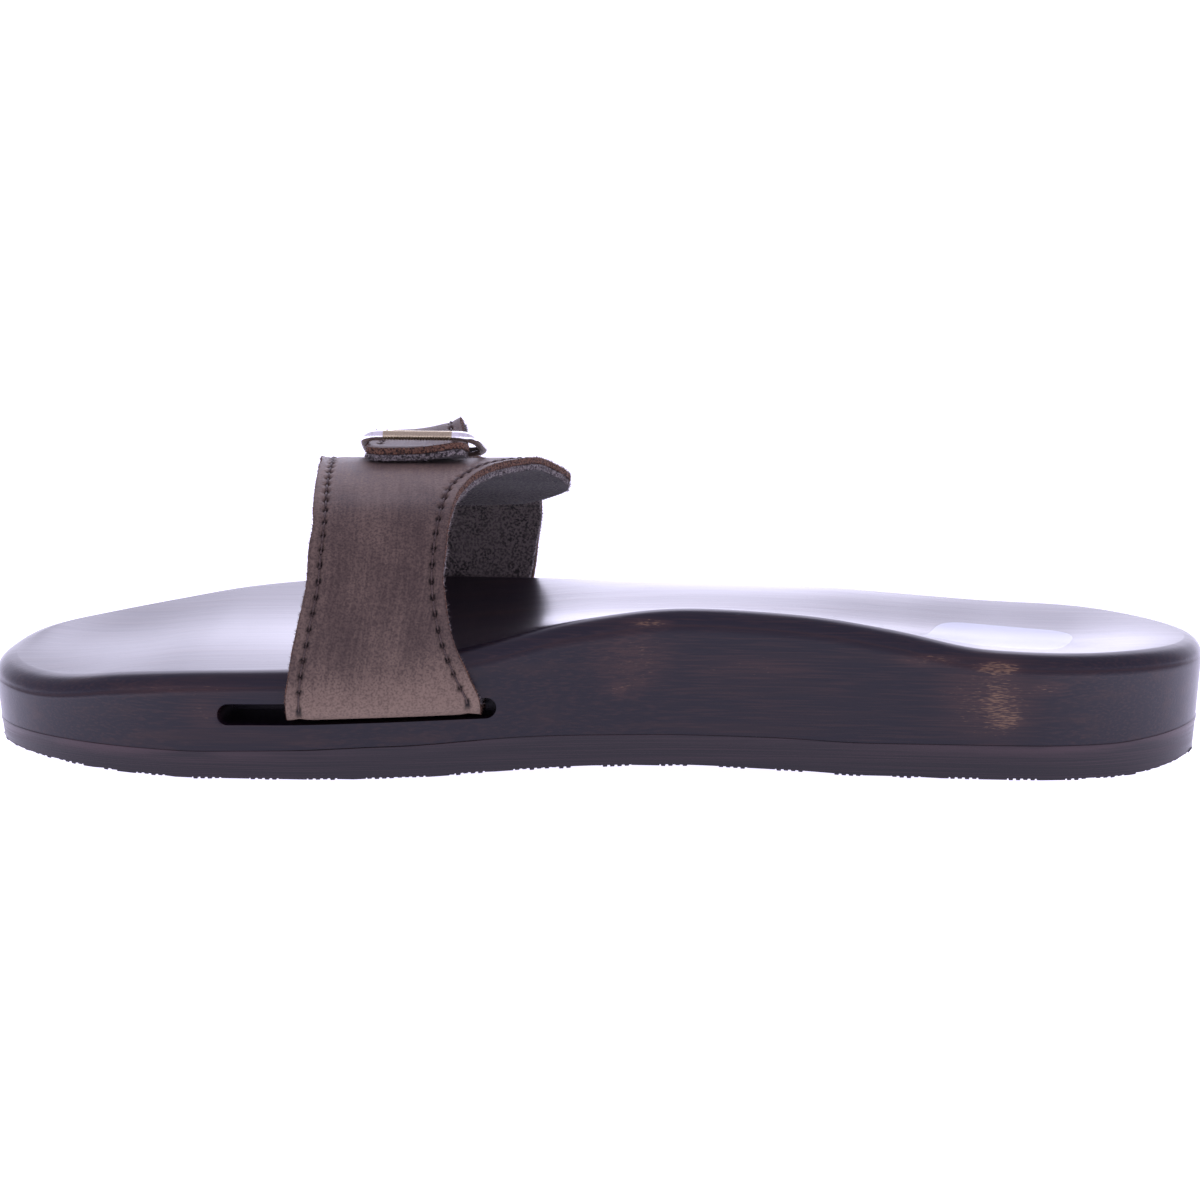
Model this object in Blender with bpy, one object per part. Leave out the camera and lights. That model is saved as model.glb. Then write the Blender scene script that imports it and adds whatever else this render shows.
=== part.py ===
"""A right-foot wooden exercise sandal: carved footbed, rubber outsole, two-piece leather strap and buckle.

Sizes are in millimetres and become metres when a mesh is made. X runs along the foot from the toe (-X) to
the heel (+X), the medial side is -Y, the lateral side is +Y and Z is up from the floor.
"""

import math

import bmesh
import bpy
import numpy as np
from mathutils import Vector

MM = 0.001

# Driving sizes of the sole
SOLE_LENGTH = 265.0
TOE_X = -SOLE_LENGTH / 2
HEEL_X = SOLE_LENGTH / 2
PIECE_GAP = 0.3
WALL_DRAFT = 1.0
ROUND_STEPS = 4
OUTLINE_STATIONS = 44
TOP_RUNG_STEPS = 12

# The toe and heel are round: half an ellipse of the given length closes each side of the outline
TOE_TIP_Y = -8.0
MEDIAL_TOE_LENGTH = 52.5
LATERAL_TOE_LENGTH = 87.5
HEEL_LENGTH = 37.5


def table(names, *rows):
    """Columns of a table by name. Each row is one place on the sandal and starts with what that place is."""
    return {name: tuple(row[i + 1] for row in rows) for i, name in enumerate(names)}


# Half widths of the sole either side of the heel-to-toe axis
BODY_WIDTHS = table(
    ("x", "medial", "lateral"),
    ("toes", TOE_X, 45.6, 50.0),
    ("ball of the big toe", -64.0, 46.0, 50.0),
    ("ball of the little toe", -43.0, 43.2, 50.0),
    ("behind the ball", -21.0, 38.4, 46.2),
    ("front of the arch", 0.0, 34.3, 40.6),
    ("arch", 22.0, 31.6, 37.0),
    ("rear of the arch", 45.0, 31.0, 34.2),
    ("front of the heel", 67.0, 31.5, 33.0),
    ("heel", 90.0, 31.8, 32.2),
    ("back of the heel", HEEL_X, 31.5, 31.5),
)

# Underside: flat forefoot and flat heel on the floor, a low arch, toe spring and a heel bevel, and the
# thickness of the rubber, which is skived thinner toward the toe
FLOOR_LINE = table(
    ("x", "z", "rubber"),
    ("toe tip", TOE_X, 2.4, 4.8),
    ("toe spring", -112.0, 1.3, 5.5),
    ("start of the toe spring", -94.0, 0.4, 6.0),
    ("front of the forefoot flat", -80.0, 0.0, 6.2),
    ("forefoot flat", -60.0, 0.0, 6.7),
    ("rear of the forefoot flat", -40.0, 0.0, 7.3),
    ("front of the arch", -12.0, 1.2, 7.5),
    ("top of the arch", 14.0, 1.7, 7.1),
    ("rear of the arch", 40.0, 1.0, 7.4),
    ("front of the heel flat", 62.0, 0.0, 7.6),
    ("heel flat", 87.0, 0.0, 7.7),
    ("rear of the heel flat", 112.0, 0.0, 7.8),
    ("heel bevel", 122.0, 0.6, 7.8),
    ("back of the heel", HEEL_X, 2.4, 7.2),
)

# Footbed: height of each rim and of the trough between them, and the radius of the routed top edge
FOOTBED_TOP = table(
    ("x", "medial", "trough", "lateral", "edge_round"),
    ("toe tip", TOE_X, 21.2, 20.3, 21.2, 4.6),
    ("round of the toe", -128.0, 20.3, 20.5, 23.3, 4.5),
    ("under the toe tips", -118.0, 19.8, 20.9, 23.8, 4.4),
    ("toe hollow", -102.0, 21.9, 22.3, 25.4, 4.0),
    ("toe ridge", -84.0, 23.2, 24.6, 27.5, 3.6),
    ("ball hollow", -66.0, 23.7, 24.9, 28.6, 3.4),
    ("ball", -45.0, 24.7, 24.9, 29.2, 3.4),
    ("behind the ball", -24.0, 28.0, 26.4, 29.8, 3.4),
    ("front of the arch", 0.0, 33.6, 28.6, 30.8, 3.4),
    ("top of the arch", 22.0, 36.0, 29.2, 31.3, 3.4),
    ("rear of the arch", 45.0, 34.9, 28.6, 31.1, 3.4),
    ("front of the heel cup", 66.0, 31.9, 27.2, 29.9, 3.4),
    ("heel cup", 86.0, 28.0, 25.9, 28.7, 3.4),
    ("middle of the heel", 106.0, 27.3, 25.4, 28.1, 3.4),
    ("rear of the heel cup", 122.0, 27.0, 25.4, 27.2, 3.6),
    ("back of the heel", HEEL_X, 26.6, 25.8, 26.6, 3.8),
)
TOE_RISE_LENGTH = 24.0
HEEL_RISE_LENGTH = 26.0

# Strap slots routed into both sides of the wood
SLOT_FRONT_X = -77.0
SLOT_REAR_X = -18.2
SLOT_MID_X = (SLOT_FRONT_X + SLOT_REAR_X) / 2
SLOT_Z = 14.7
SLOT_HEIGHT = 4.4
SLOT_RISE = 0.9
SLOT_SLOPE = SLOT_RISE / (SLOT_REAR_X - SLOT_FRONT_X)
SLOT_DEPTH = 16.0
SLOT_OVERRUN = 8.0
SLOT_END_STEPS = 8

# Leather strap with its lining, as one wall. Each row is a place along the inner face, from the slot upward.
# hug is how far that place follows the side of the wood, rear_rise lifts the rear edge against the front edge.
STRAP_WALL = 3.0
STRAP_REF_X = -42.0
STRAP_ACROSS_STEPS = 8
STRAP_ROW_STEPS = 3
STRAP_COLUMNS = ("y", "z", "hug", "front", "rear", "rear_rise")
MEDIAL_STRAP = table(
    STRAP_COLUMNS,
    ("end in the slot", -35.5, 16.5, 1.0, -61.8, -21.4, 0.0),
    ("in the slot", -39.0, 16.5, 1.0, -61.8, -21.4, 0.0),
    ("slot mouth", -42.0, 16.5, 1.0, -61.8, -21.4, 0.0),
    ("bend out of the slot", -43.4, 16.9, 1.0, -61.8, -21.4, 0.0),
    ("above the bend", -43.7, 18.0, 1.0, -61.8, -21.8, 0.0),
    ("rim of the wood", -43.8, 23.0, 1.0, -61.4, -24.2, 0.0),
    ("low side", -43.2, 33.0, 0.8, -59.6, -27.6, 0.0),
    ("waist of the strap", -40.6, 43.2, 0.55, -57.8, -29.0, 0.0),
    ("high side", -34.6, 51.8, 0.25, -57.6, -28.4, 0.0),
    ("shoulder", -24.0, 57.8, 0.05, -58.7, -27.2, 0.0),
    ("crest", -8.0, 60.9, 0.0, -60.0, -21.0, 0.0),
    ("flare", 6.0, 59.8, 0.0, -61.8, -14.1, 0.5),
    ("lateral slope", 20.0, 55.6, 0.0, -61.9, -9.0, 0.0),
    ("tip of the flare", 25.0, 53.85, 0.0, -61.4, -8.6, 0.1),
    ("before the free end", 30.0, 51.9, 0.0, -60.5, -9.6, 0.2),
    ("round of the free end", 35.5, 48.9, 0.0, -57.0, -14.8, 0.5),
    ("free end", 38.6, 47.0, 0.0, -50.0, -20.0, 0.8),
)
LATERAL_STRAP = table(
    STRAP_COLUMNS,
    ("end in the slot", 40.0, 16.5, 1.0, -62.0, -20.6, 0.0),
    ("in the slot", 45.0, 16.5, 1.0, -62.0, -20.6, 0.0),
    ("slot mouth", 48.6, 16.5, 1.0, -62.0, -20.6, 0.0),
    ("bend out of the slot", 50.1, 16.9, 1.0, -62.0, -20.6, 0.0),
    ("above the bend", 50.4, 18.0, 1.0, -62.0, -20.4, 0.0),
    ("rim of the wood", 50.5, 26.0, 1.0, -61.8, -20.1, 0.0),
    ("low side", 49.6, 36.0, 0.6, -61.0, -18.7, 0.0),
    ("high side", 46.9, 45.4, 0.2, -60.2, -17.2, 0.0),
)

# Buckle: a bent bar whose far side lies on the medial strap. Its arms rise and draw together toward the near
# side, where a toothed grip bar closes it.
BUCKLE_X = -38.8
BUCKLE_NEAR_WIDTH = 26.4
BUCKLE_FAR_WIDTH = 28.8
BUCKLE_NEAR_Y = -6.0
BUCKLE_FAR_Y = 10.5
BUCKLE_BAR = 2.0
BUCKLE_TALL = 2.2
BUCKLE_NEAR_Z = 69.3
BUCKLE_CORNER = 7.0
END_SHARE = 0.95
MIDDLE_SHARE = 0.49
BUCKLE_CORNER_STEPS = 5
BUCKLE_BAR_BEVEL = 0.6
GRIP_LENGTH = 15.6
GRIP_BAR = 2.0

# The lateral strap narrows to a tab, which lies on the medial strap, climbs over the buckle's far bar and dips
# under its near bar. lift is its height above the medial strap.
TAB_WIDTH = 22.4
TAB_FRONT_X = BUCKLE_X - TAB_WIDTH / 2
TAB_REAR_X = BUCKLE_X + TAB_WIDTH / 2
TAB_OVER_BAR = BUCKLE_TALL + PIECE_GAP + 0.6
TAB_RUN = table(
    ("y", "lift", "front", "rear", "rear_rise"),
    ("foot of the shoulder", 34.0, 1.0, -59.6, -18.0, 0.0),
    ("shoulder", 27.5, 0.1, -56.6, -26.0, 0.0),
    ("neck", 19.0, 0.5, -52.0, -30.8, 0.6),
    ("over the far bar", BUCKLE_FAR_Y, TAB_OVER_BAR, -50.6, -30.2, 3.4),
    ("between the bars", 2.5, 1.2, TAB_FRONT_X, -29.0, 1.6),
    ("under the near bar", BUCKLE_NEAR_Y, 0.1, TAB_FRONT_X, TAB_REAR_X, 0.2),
    ("start of the round tip", -8.8, 0.15, -49.7, -27.9, 1.2),
    ("tip", -10.8, 0.25, -47.0, -30.0, 1.7),
)

WOOD_COLOUR = (0.030, 0.020, 0.020, 1.0)
RUBBER_COLOUR = (0.046, 0.032, 0.036, 1.0)
LEATHER_COLOUR = (0.150, 0.102, 0.076, 1.0)
NICKEL_COLOUR = (0.70, 0.69, 0.68, 1.0)
BRASS_COLOUR = (0.66, 0.52, 0.26, 1.0)


def through(table, column, at):
    """A smooth curve through one column of a table, read at the place or places `at` along its x column."""
    knots = np.array(table["x"], float)
    values = np.array(table[column], float)
    steps = np.diff(values) / np.diff(knots)
    slopes = np.zeros_like(values)
    slopes[0], slopes[-1] = steps[0], steps[-1]
    same_way = steps[:-1] * steps[1:] > 0
    slopes[1:-1][same_way] = 2 * (steps[:-1] * steps[1:])[same_way] / (steps[:-1] + steps[1:])[same_way]
    at = np.clip(np.asarray(at, float), knots[0], knots[-1])
    i = np.clip(np.searchsorted(knots, at) - 1, 0, len(knots) - 2)
    width = knots[i + 1] - knots[i]
    t = (at - knots[i]) / width
    return (
        values[i] * (1 + 2 * t) * (1 - t) ** 2
        + slopes[i] * width * t * (1 - t) ** 2
        + values[i + 1] * t * t * (3 - 2 * t)
        + slopes[i + 1] * width * t * t * (t - 1)
    )


def round_end(distance, length):
    """1 along the body, falling to 0 at the tip as half an ellipse does. distance is measured from the tip."""
    t = np.clip(1 - distance / length, 0.0, 1.0)
    return np.sqrt(1 - t * t)


def side_y(side, x):
    """Y of the sole's edge on the medial or lateral side, at its widest level."""
    x = np.asarray(x, float)
    sign = -1.0 if side == "medial" else 1.0
    toe_length = MEDIAL_TOE_LENGTH if side == "medial" else LATERAL_TOE_LENGTH
    body = sign * through(BODY_WIDTHS, side, x)
    toe = TOE_TIP_Y + (body - TOE_TIP_Y) * round_end(x - TOE_X, toe_length)
    return np.where(x < 0, toe, body * round_end(HEEL_X - x, HEEL_LENGTH))


def outline():
    """The sole's plan as a closed ring: toe tip, medial side to the heel tip, lateral side back to the toe."""
    turn = np.linspace(0, math.pi, OUTLINE_STATIONS + 1)
    x = TOE_X * np.cos(turn)
    medial = np.column_stack([x, side_y("medial", x)])
    lateral = np.column_stack([x, side_y("lateral", x)])
    return np.vstack([medial, lateral[-2:0:-1]])


def inset(ring, distance):
    """The ring moved inward by a distance, which may differ from point to point."""
    along = np.roll(ring, -1, axis=0) - np.roll(ring, 1, axis=0)
    inward = np.column_stack([-along[:, 1], along[:, 0]])
    inward /= np.linalg.norm(inward, axis=1)[:, None]
    return ring + inward * np.broadcast_to(distance, len(ring))[:, None]


def across_share(x, y):
    """Where a point lies across the sole: -1 on the medial edge, 0 in the middle, 1 on the lateral edge."""
    medial, lateral = side_y("medial", x), side_y("lateral", x)
    half = np.maximum((lateral - medial) / 2, 1e-6)
    return np.clip((y - (lateral + medial) / 2) / half, -1, 1)


def rim_height(x, y):
    """Height of the two rims, blended evenly across the sole."""
    share = across_share(x, y)
    medial, lateral = through(FOOTBED_TOP, "medial", x), through(FOOTBED_TOP, "lateral", x)
    return medial * (1 - share) / 2 + lateral * (1 + share) / 2


def end_share(x):
    """0 along the body of the footbed, rising to 1 at the inner edge of the toe rim and of the heel rim."""
    toe = 1 - (x - TOE_X - FOOTBED_TOP["edge_round"][0]) / TOE_RISE_LENGTH
    heel = 1 - (HEEL_X - FOOTBED_TOP["edge_round"][-1] - x) / HEEL_RISE_LENGTH
    return np.clip(np.maximum(toe, heel), 0, 1)


def hollow(share):
    """0 along the trough, rising softly to 1 at the rim."""
    share = np.abs(share)
    return share * share * (3 - share) / 2


def top_height(x, y):
    """Height of the carved footbed: level with the rim all round, hollowed between."""
    across = hollow(across_share(x, y))
    ends = hollow(end_share(x))
    trough = through(FOOTBED_TOP, "trough", x)
    return trough + (rim_height(x, y) - trough) * (1 - (1 - across) * (1 - ends))


def floor_height(x):
    """Height of the outsole's underside above the floor."""
    return through(FLOOR_LINE, "z", x)


def rubber_top(x):
    """Height of the line where the rubber meets the wood."""
    return floor_height(x) + through(FLOOR_LINE, "rubber", x)


def rungs(ring, steps):
    """Inner points of the lines that join each medial point of a ring to its lateral partner."""
    share = np.arange(1, steps)[None, :, None] / steps
    medial = ring[1:OUTLINE_STATIONS][:, None, :]
    lateral = ring[: -OUTLINE_STATIONS : -1][:, None, :]
    return medial + (lateral - medial) * share


class Shell:
    """Collects points and faces, then makes one closed object from them."""

    def __init__(self):
        self.points = []
        self.faces = []

    def add(self, points):
        start = len(self.points)
        self.points.extend(map(tuple, points))
        return list(range(start, len(self.points)))

    def band(self, lower, upper):
        """Quads between two rings of equal length."""
        for i in range(len(lower)):
            j = (i + 1) % len(lower)
            self.faces.append((lower[i], lower[j], upper[j], upper[i]))

    def sheet(self, rows):
        """Quads between open rows of equal length."""
        for a, b in zip(rows, rows[1:]):
            for i in range(len(a) - 1):
                self.faces.append((a[i], b[i], b[i + 1], a[i + 1]))

    def lid(self, ring, inner_rows):
        """Closes a ring with the rungs that cross it and a fan at the toe and at the heel."""
        rows = [
            [ring[k + 1], *row, ring[-k - 1]] for k, row in enumerate(inner_rows)
        ]
        self.sheet(rows)
        for tip, row in ((ring[0], rows[0][::-1]), (ring[OUTLINE_STATIONS], rows[-1])):
            self.faces.extend((tip, a, b) for a, b in zip(row, row[1:]))

    def to_object(self, name, material, parent):
        mesh = bpy.data.meshes.new(name)
        mesh.from_pydata((np.array(self.points) * MM).tolist(), [], self.faces)
        shape = bmesh.new()
        shape.from_mesh(mesh)
        bmesh.ops.recalc_face_normals(shape, faces=shape.faces)
        bmesh.ops.triangulate(shape, faces=shape.faces)
        shape.to_mesh(mesh)
        shape.free()
        return link_mesh(name, mesh, material, parent)


def link_mesh(name, mesh, material, parent):
    obj = bpy.data.objects.new(name, mesh)
    bpy.context.scene.collection.objects.link(obj)
    obj.parent = parent
    if material:
        mesh.materials.append(material)
    mesh.shade_smooth()
    mesh.set_sharp_from_angle(angle=math.radians(40))
    return obj


def finish_material(name, colour, roughness, metallic=0.0):
    material = bpy.data.materials.new(name)
    material.use_nodes = True
    shader = material.node_tree.nodes["Principled BSDF"]
    shader.inputs["Base Color"].default_value = colour
    shader.inputs["Roughness"].default_value = roughness
    shader.inputs["Metallic"].default_value = metallic
    return material


def with_height(ring, height):
    return np.column_stack([ring, np.broadcast_to(height, len(ring))])


def make_outsole(material, parent):
    """Rubber sheet under the whole sole, bent to the floor line."""
    ring = outline()
    foot = inset(ring, WALL_DRAFT * 1.6)
    seat = inset(ring, WALL_DRAFT)
    shell = Shell()
    rings = [
        shell.add(with_height(foot, floor_height(foot[:, 0]))),
        shell.add(with_height(seat, rubber_top(seat[:, 0]))),
    ]
    shell.band(*rings)
    for ring_ids in rings:
        shell.lid(ring_ids, [[] for _ in range(OUTLINE_STATIONS - 1)])
    return shell.to_object("outsole", material, parent)


def make_footbed(material, parent):
    """Carved wooden sole: leaning wall, routed edge and a hollowed top with heel cup, arch and toe ridge."""
    ring = outline()
    x, y = ring.T
    radius = through(FOOTBED_TOP, "edge_round", x)
    rim = rim_height(x, y)
    shell = Shell()
    base = inset(ring, WALL_DRAFT)
    rings = [shell.add(with_height(base, rubber_top(base[:, 0]) + PIECE_GAP))]
    for step in range(ROUND_STEPS + 1):
        turn = math.pi / 2 * step / ROUND_STEPS
        edge = inset(ring, radius * (1 - math.cos(turn)))
        rings.append(shell.add(with_height(edge, rim - radius * (1 - math.sin(turn)))))
    for lower, upper in zip(rings, rings[1:]):
        shell.band(lower, upper)
    shell.lid(rings[0], [[] for _ in range(OUTLINE_STATIONS - 1)])
    top_rows = []
    for row in rungs(inset(ring, radius), TOP_RUNG_STEPS):
        top_rows.append(shell.add(with_height(row, top_height(*row.T))))
    shell.lid(rings[-1], top_rows)
    footbed = shell.to_object("footbed", material, parent)
    for side in ("medial", "lateral"):
        cut_slot(footbed, side, parent)
    return footbed


def cut_slot(footbed, side, parent):
    """A long slot with round ends, routed level into one side of the wood."""
    sign = -1.0 if side == "medial" else 1.0
    wall = float(side_y(side, SLOT_MID_X))
    ends = (wall + sign * SLOT_OVERRUN, wall - sign * SLOT_DEPTH)
    radius = SLOT_HEIGHT / 2
    turns = np.linspace(-math.pi / 2, math.pi / 2, SLOT_END_STEPS + 1)
    rear = [(SLOT_REAR_X - radius + radius * math.cos(t), radius * math.sin(t)) for t in turns]
    front = [(SLOT_FRONT_X + radius - radius * math.cos(t), -radius * math.sin(t)) for t in turns]
    section = [(x, SLOT_Z + z + SLOT_SLOPE * (x - SLOT_MID_X)) for x, z in rear + front]
    shell = Shell()
    rings = [shell.add([(x, y, z) for x, z in section]) for y in ends]
    shell.band(*rings)
    shell.faces.extend([tuple(rings[0]), tuple(rings[1])])
    cutter = shell.to_object(f"slot_cutter_{side}", None, parent)
    cutter.hide_render = True
    cutter.display_type = "WIRE"
    cut = footbed.modifiers.new(f"slot_{side}", "BOOLEAN")
    cut.operation = "DIFFERENCE"
    cut.solver = "EXACT"
    cut.object = cutter


def rows_along(table):
    """Every column of a strap table, read smoothly at even steps between its rows."""
    count = len(table["y"])
    places = np.linspace(0, count - 1, (count - 1) * STRAP_ROW_STEPS + 1)
    indexed = {"x": tuple(range(count)), **table}
    return {column: through(indexed, column, places) for column in table}


def inner_face(rows, side):
    """Grid of points on the strap's lining: one row for each place along it, from front edge to rear edge."""
    share = np.linspace(0, 1, STRAP_ACROSS_STEPS + 1)[None, :]
    x = rows["front"][:, None] + (rows["rear"] - rows["front"])[:, None] * share
    hug = rows["hug"][:, None]
    bend = side_y(side, x) - side_y(side, STRAP_REF_X)
    y = rows["y"][:, None] + hug * bend
    z = rows["z"][:, None] + hug * SLOT_SLOPE * (x - SLOT_MID_X) + rows["rear_rise"][:, None] * share**3
    return np.stack([x, y, z], axis=2)


def outward(grid, side):
    """Unit normals of a strap grid, pointing away from the foot."""
    along = np.gradient(grid, axis=0)
    across = np.gradient(grid, axis=1)
    normal = np.cross(along, across) * (1.0 if side == "lateral" else -1.0)
    return normal / np.linalg.norm(normal, axis=2)[:, :, None]


def strap_solid(name, inner, side, material, parent):
    outer = inner + outward(inner, side) * STRAP_WALL
    shell = Shell()
    inner_rows = [shell.add(row) for row in inner]
    outer_rows = [shell.add(row) for row in outer]
    shell.sheet(inner_rows)
    shell.sheet(outer_rows)
    for column in (0, -1):
        shell.sheet([[a[column], b[column]] for a, b in zip(inner_rows, outer_rows)])
    for row in (0, -1):
        shell.sheet([inner_rows[row], outer_rows[row]])
    return shell.to_object(name, material, parent)


def medial_outer_line():
    """(y, z) and normal of the medial strap's outer face along its front edge, for what lies on it."""
    grid = inner_face(rows_along(MEDIAL_STRAP), "medial")[:, 0]
    normals = outward(inner_face(rows_along(MEDIAL_STRAP), "medial"), "medial")[:, 0]
    return (grid + normals * STRAP_WALL)[:, 1:], normals[:, 1:]


def on_medial_strap(y, lift):
    """(y, z) of a point that stands off the medial strap's outer face, near the top of the arch."""
    line, normals = medial_outer_line()
    crown = line[:, 1] > line[:, 1].max() * 0.7
    order = np.argsort(line[crown, 0])
    known_y = line[crown, 0][order]
    base = np.array([y, np.interp(y, known_y, line[crown, 1][order])])
    normal = np.array([np.interp(y, known_y, normals[crown, k][order]) for k in (0, 1)])
    return base + normal / np.linalg.norm(normal) * lift


def lateral_table():
    """The lateral strap's side rows followed by the rows of its tab, which are worked out from the medial strap."""
    tab = [on_medial_strap(y, PIECE_GAP + lift) for y, lift in zip(TAB_RUN["y"], TAB_RUN["lift"])]
    rows = {column: LATERAL_STRAP[column] + TAB_RUN[column] for column in ("front", "rear", "rear_rise")}
    rows["hug"] = LATERAL_STRAP["hug"] + (0.0,) * len(tab)
    rows["y"] = LATERAL_STRAP["y"] + tuple(float(p[0]) for p in tab)
    rows["z"] = LATERAL_STRAP["z"] + tuple(float(p[1]) for p in tab)
    return rows


def make_straps(material, parent):
    medial = inner_face(rows_along(MEDIAL_STRAP), "medial")
    lateral = inner_face(rows_along(lateral_table()), "lateral")
    return [
        strap_solid("strap_medial", medial, "medial", material, parent),
        strap_solid("strap_lateral", lateral, "lateral", material, parent),
    ]


def rounded_path(corners, radius):
    """A path through corner points, each inner corner replaced by a short arc-like curve."""
    path = [corners[0]]
    last = len(corners) - 2
    for at in range(1, last + 1):
        before, corner, after = corners[at - 1 : at + 2]
        most_before = (before - corner).length * (END_SHARE if at == 1 else MIDDLE_SHARE)
        most_after = (after - corner).length * (END_SHARE if at == last else MIDDLE_SHARE)
        start = corner + (before - corner).normalized() * min(radius, most_before)
        end = corner + (after - corner).normalized() * min(radius, most_after)
        for step in range(BUCKLE_CORNER_STEPS + 1):
            t = step / BUCKLE_CORNER_STEPS
            path.append(start * (1 - t) ** 2 + corner * 2 * t * (1 - t) + end * t * t)
    path.append(corners[-1])
    return path


def swept_bar(name, path, side, wide, tall, material, parent):
    """A bevelled bar along an open path, turned as little as possible: `wide` along side at its start, `tall` across."""
    a, b, bevel = wide / 2, tall / 2, BUCKLE_BAR_BEVEL
    quarter = ((a, b - bevel), (a - bevel, b))
    section = [(p, q) for p, q in quarter] + [(-p, q) for p, q in quarter[::-1]]
    section += [(-p, -q) for p, q in quarter] + [(p, -q) for p, q in quarter[::-1]]
    shell = Shell()
    rings = []
    for i, point in enumerate(path):
        ahead = (path[min(i + 1, len(path) - 1)] - path[max(i - 1, 0)]).normalized()
        side = (side - ahead * side.dot(ahead)).normalized()
        other = ahead.cross(side)
        rings.append(shell.add([tuple(point + side * a + other * b) for a, b in section]))
    for lower, upper in zip(rings, rings[1:]):
        shell.band(lower, upper)
    shell.faces.extend([tuple(rings[0]), tuple(rings[-1])])
    return shell.to_object(name, material, parent)


def make_buckle(nickel, brass, parent):
    """The bent frame, open at its near bar, and the toothed grip bar that closes it there."""
    near_reach = (BUCKLE_NEAR_WIDTH - BUCKLE_BAR) / 2
    far_reach = (BUCKLE_FAR_WIDTH - BUCKLE_BAR) / 2
    far_y, far_z = on_medial_strap(BUCKLE_FAR_Y, PIECE_GAP + BUCKLE_TALL / 2 + 0.1)
    grip_end = GRIP_LENGTH / 2
    half_loop = [
        (grip_end + PIECE_GAP, BUCKLE_NEAR_Y, BUCKLE_NEAR_Z),
        (near_reach, BUCKLE_NEAR_Y, BUCKLE_NEAR_Z),
        (far_reach, far_y, far_z),
    ]
    right = [Vector((BUCKLE_X + x, y, z)) for x, y, z in half_loop]
    left = [Vector((BUCKLE_X - x, y, z)) for x, y, z in half_loop]
    frame_path = rounded_path(right + left[::-1], BUCKLE_CORNER)
    grip_path = [Vector((BUCKLE_X + x, BUCKLE_NEAR_Y, BUCKLE_NEAR_Z)) for x in (-grip_end, grip_end)]
    inward = Vector((0.0, far_y - BUCKLE_NEAR_Y, far_z - BUCKLE_NEAR_Z)).normalized()
    return [
        swept_bar("buckle_frame", frame_path, inward, BUCKLE_BAR, BUCKLE_TALL, nickel, parent),
        swept_bar("buckle_grip_bar", grip_path, inward, GRIP_BAR, BUCKLE_TALL, brass, parent),
    ]


def stand_on_origin(parent, pieces):
    """Moves the parent so that the middle of the sandal's footprint is at the origin, on the floor."""
    corners = np.vstack([[v.co[:] for v in piece.data.vertices] for piece in pieces])
    low, high = corners.min(axis=0), corners.max(axis=0)
    parent.location = (-(low[0] + high[0]) / 2, -(low[1] + high[1]) / 2, -low[2])


def main():
    for obj in list(bpy.data.objects):
        bpy.data.objects.remove(obj)
    parent = bpy.data.objects.new("sandal_right", None)
    bpy.context.scene.collection.objects.link(parent)
    wood = finish_material("stained_wood", WOOD_COLOUR, 0.30)
    rubber = finish_material("brown_rubber", RUBBER_COLOUR, 0.60)
    leather = finish_material("waxed_leather", LEATHER_COLOUR, 0.62)
    nickel = finish_material("nickel_plate", NICKEL_COLOUR, 0.22, 1.0)
    brass = finish_material("grip_brass", BRASS_COLOUR, 0.35, 1.0)
    pieces = [make_outsole(rubber, parent), make_footbed(wood, parent)]
    pieces += make_straps(leather, parent)
    pieces += make_buckle(nickel, brass, parent)
    stand_on_origin(parent, pieces)


main()
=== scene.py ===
"""Looks of a right-foot wooden sandal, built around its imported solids.

Shapes are worked out in millimetres in the frame that its solids use: X runs from the toe (-X) to the
heel (+X), the medial side is -Y, Z is up from the floor. They become metres when a mesh is made.
"""

import math

import bmesh
import bpy
import numpy as np
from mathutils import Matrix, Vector


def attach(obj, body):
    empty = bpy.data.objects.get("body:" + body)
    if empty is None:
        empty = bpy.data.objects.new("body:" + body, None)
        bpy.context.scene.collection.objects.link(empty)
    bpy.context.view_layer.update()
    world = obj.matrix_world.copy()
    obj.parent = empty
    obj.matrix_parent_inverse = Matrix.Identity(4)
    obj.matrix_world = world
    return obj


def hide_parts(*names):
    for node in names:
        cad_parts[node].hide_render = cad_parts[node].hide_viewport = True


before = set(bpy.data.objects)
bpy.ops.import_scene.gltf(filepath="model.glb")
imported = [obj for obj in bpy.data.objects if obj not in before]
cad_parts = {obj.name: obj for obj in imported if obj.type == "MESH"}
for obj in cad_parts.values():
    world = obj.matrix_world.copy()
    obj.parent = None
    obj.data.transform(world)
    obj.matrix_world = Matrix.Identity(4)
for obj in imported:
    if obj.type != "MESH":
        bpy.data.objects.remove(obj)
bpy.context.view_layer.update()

bl_info = {
    "name": "Wooden sandal looks",
    "version": (1, 0, 0),
    "blender": (4, 5, 0),
    "location": "3D View > Sidebar > Sandal",
    "description": "Builds the visible pieces and finishes of a wooden sandal around its packed solids",
    "category": "Object",
}

MM = 0.001

# The back of the heel lies on the heel-to-toe axis, which the solids place beside the middle of their box
HEEL_TIP = max((v.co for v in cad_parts["footbed"].data.vertices), key=lambda place: place.x)
AXIS_Y = HEEL_TIP.y
HEEL_X = round(HEEL_TIP.x / MM, 2)
TOE_X = -HEEL_X

# Sole, as in the solids
SEAM_GAP = 0.06
WALL_DRAFT = 1.0
FOOT_DRAFT = 1.6
TOE_TIP_Y = -8.0
MEDIAL_TOE_LENGTH = 52.5
LATERAL_TOE_LENGTH = 87.5
HEEL_LENGTH = 37.5
TOE_RISE_LENGTH = 24.0
HEEL_RISE_LENGTH = 26.0

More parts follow.
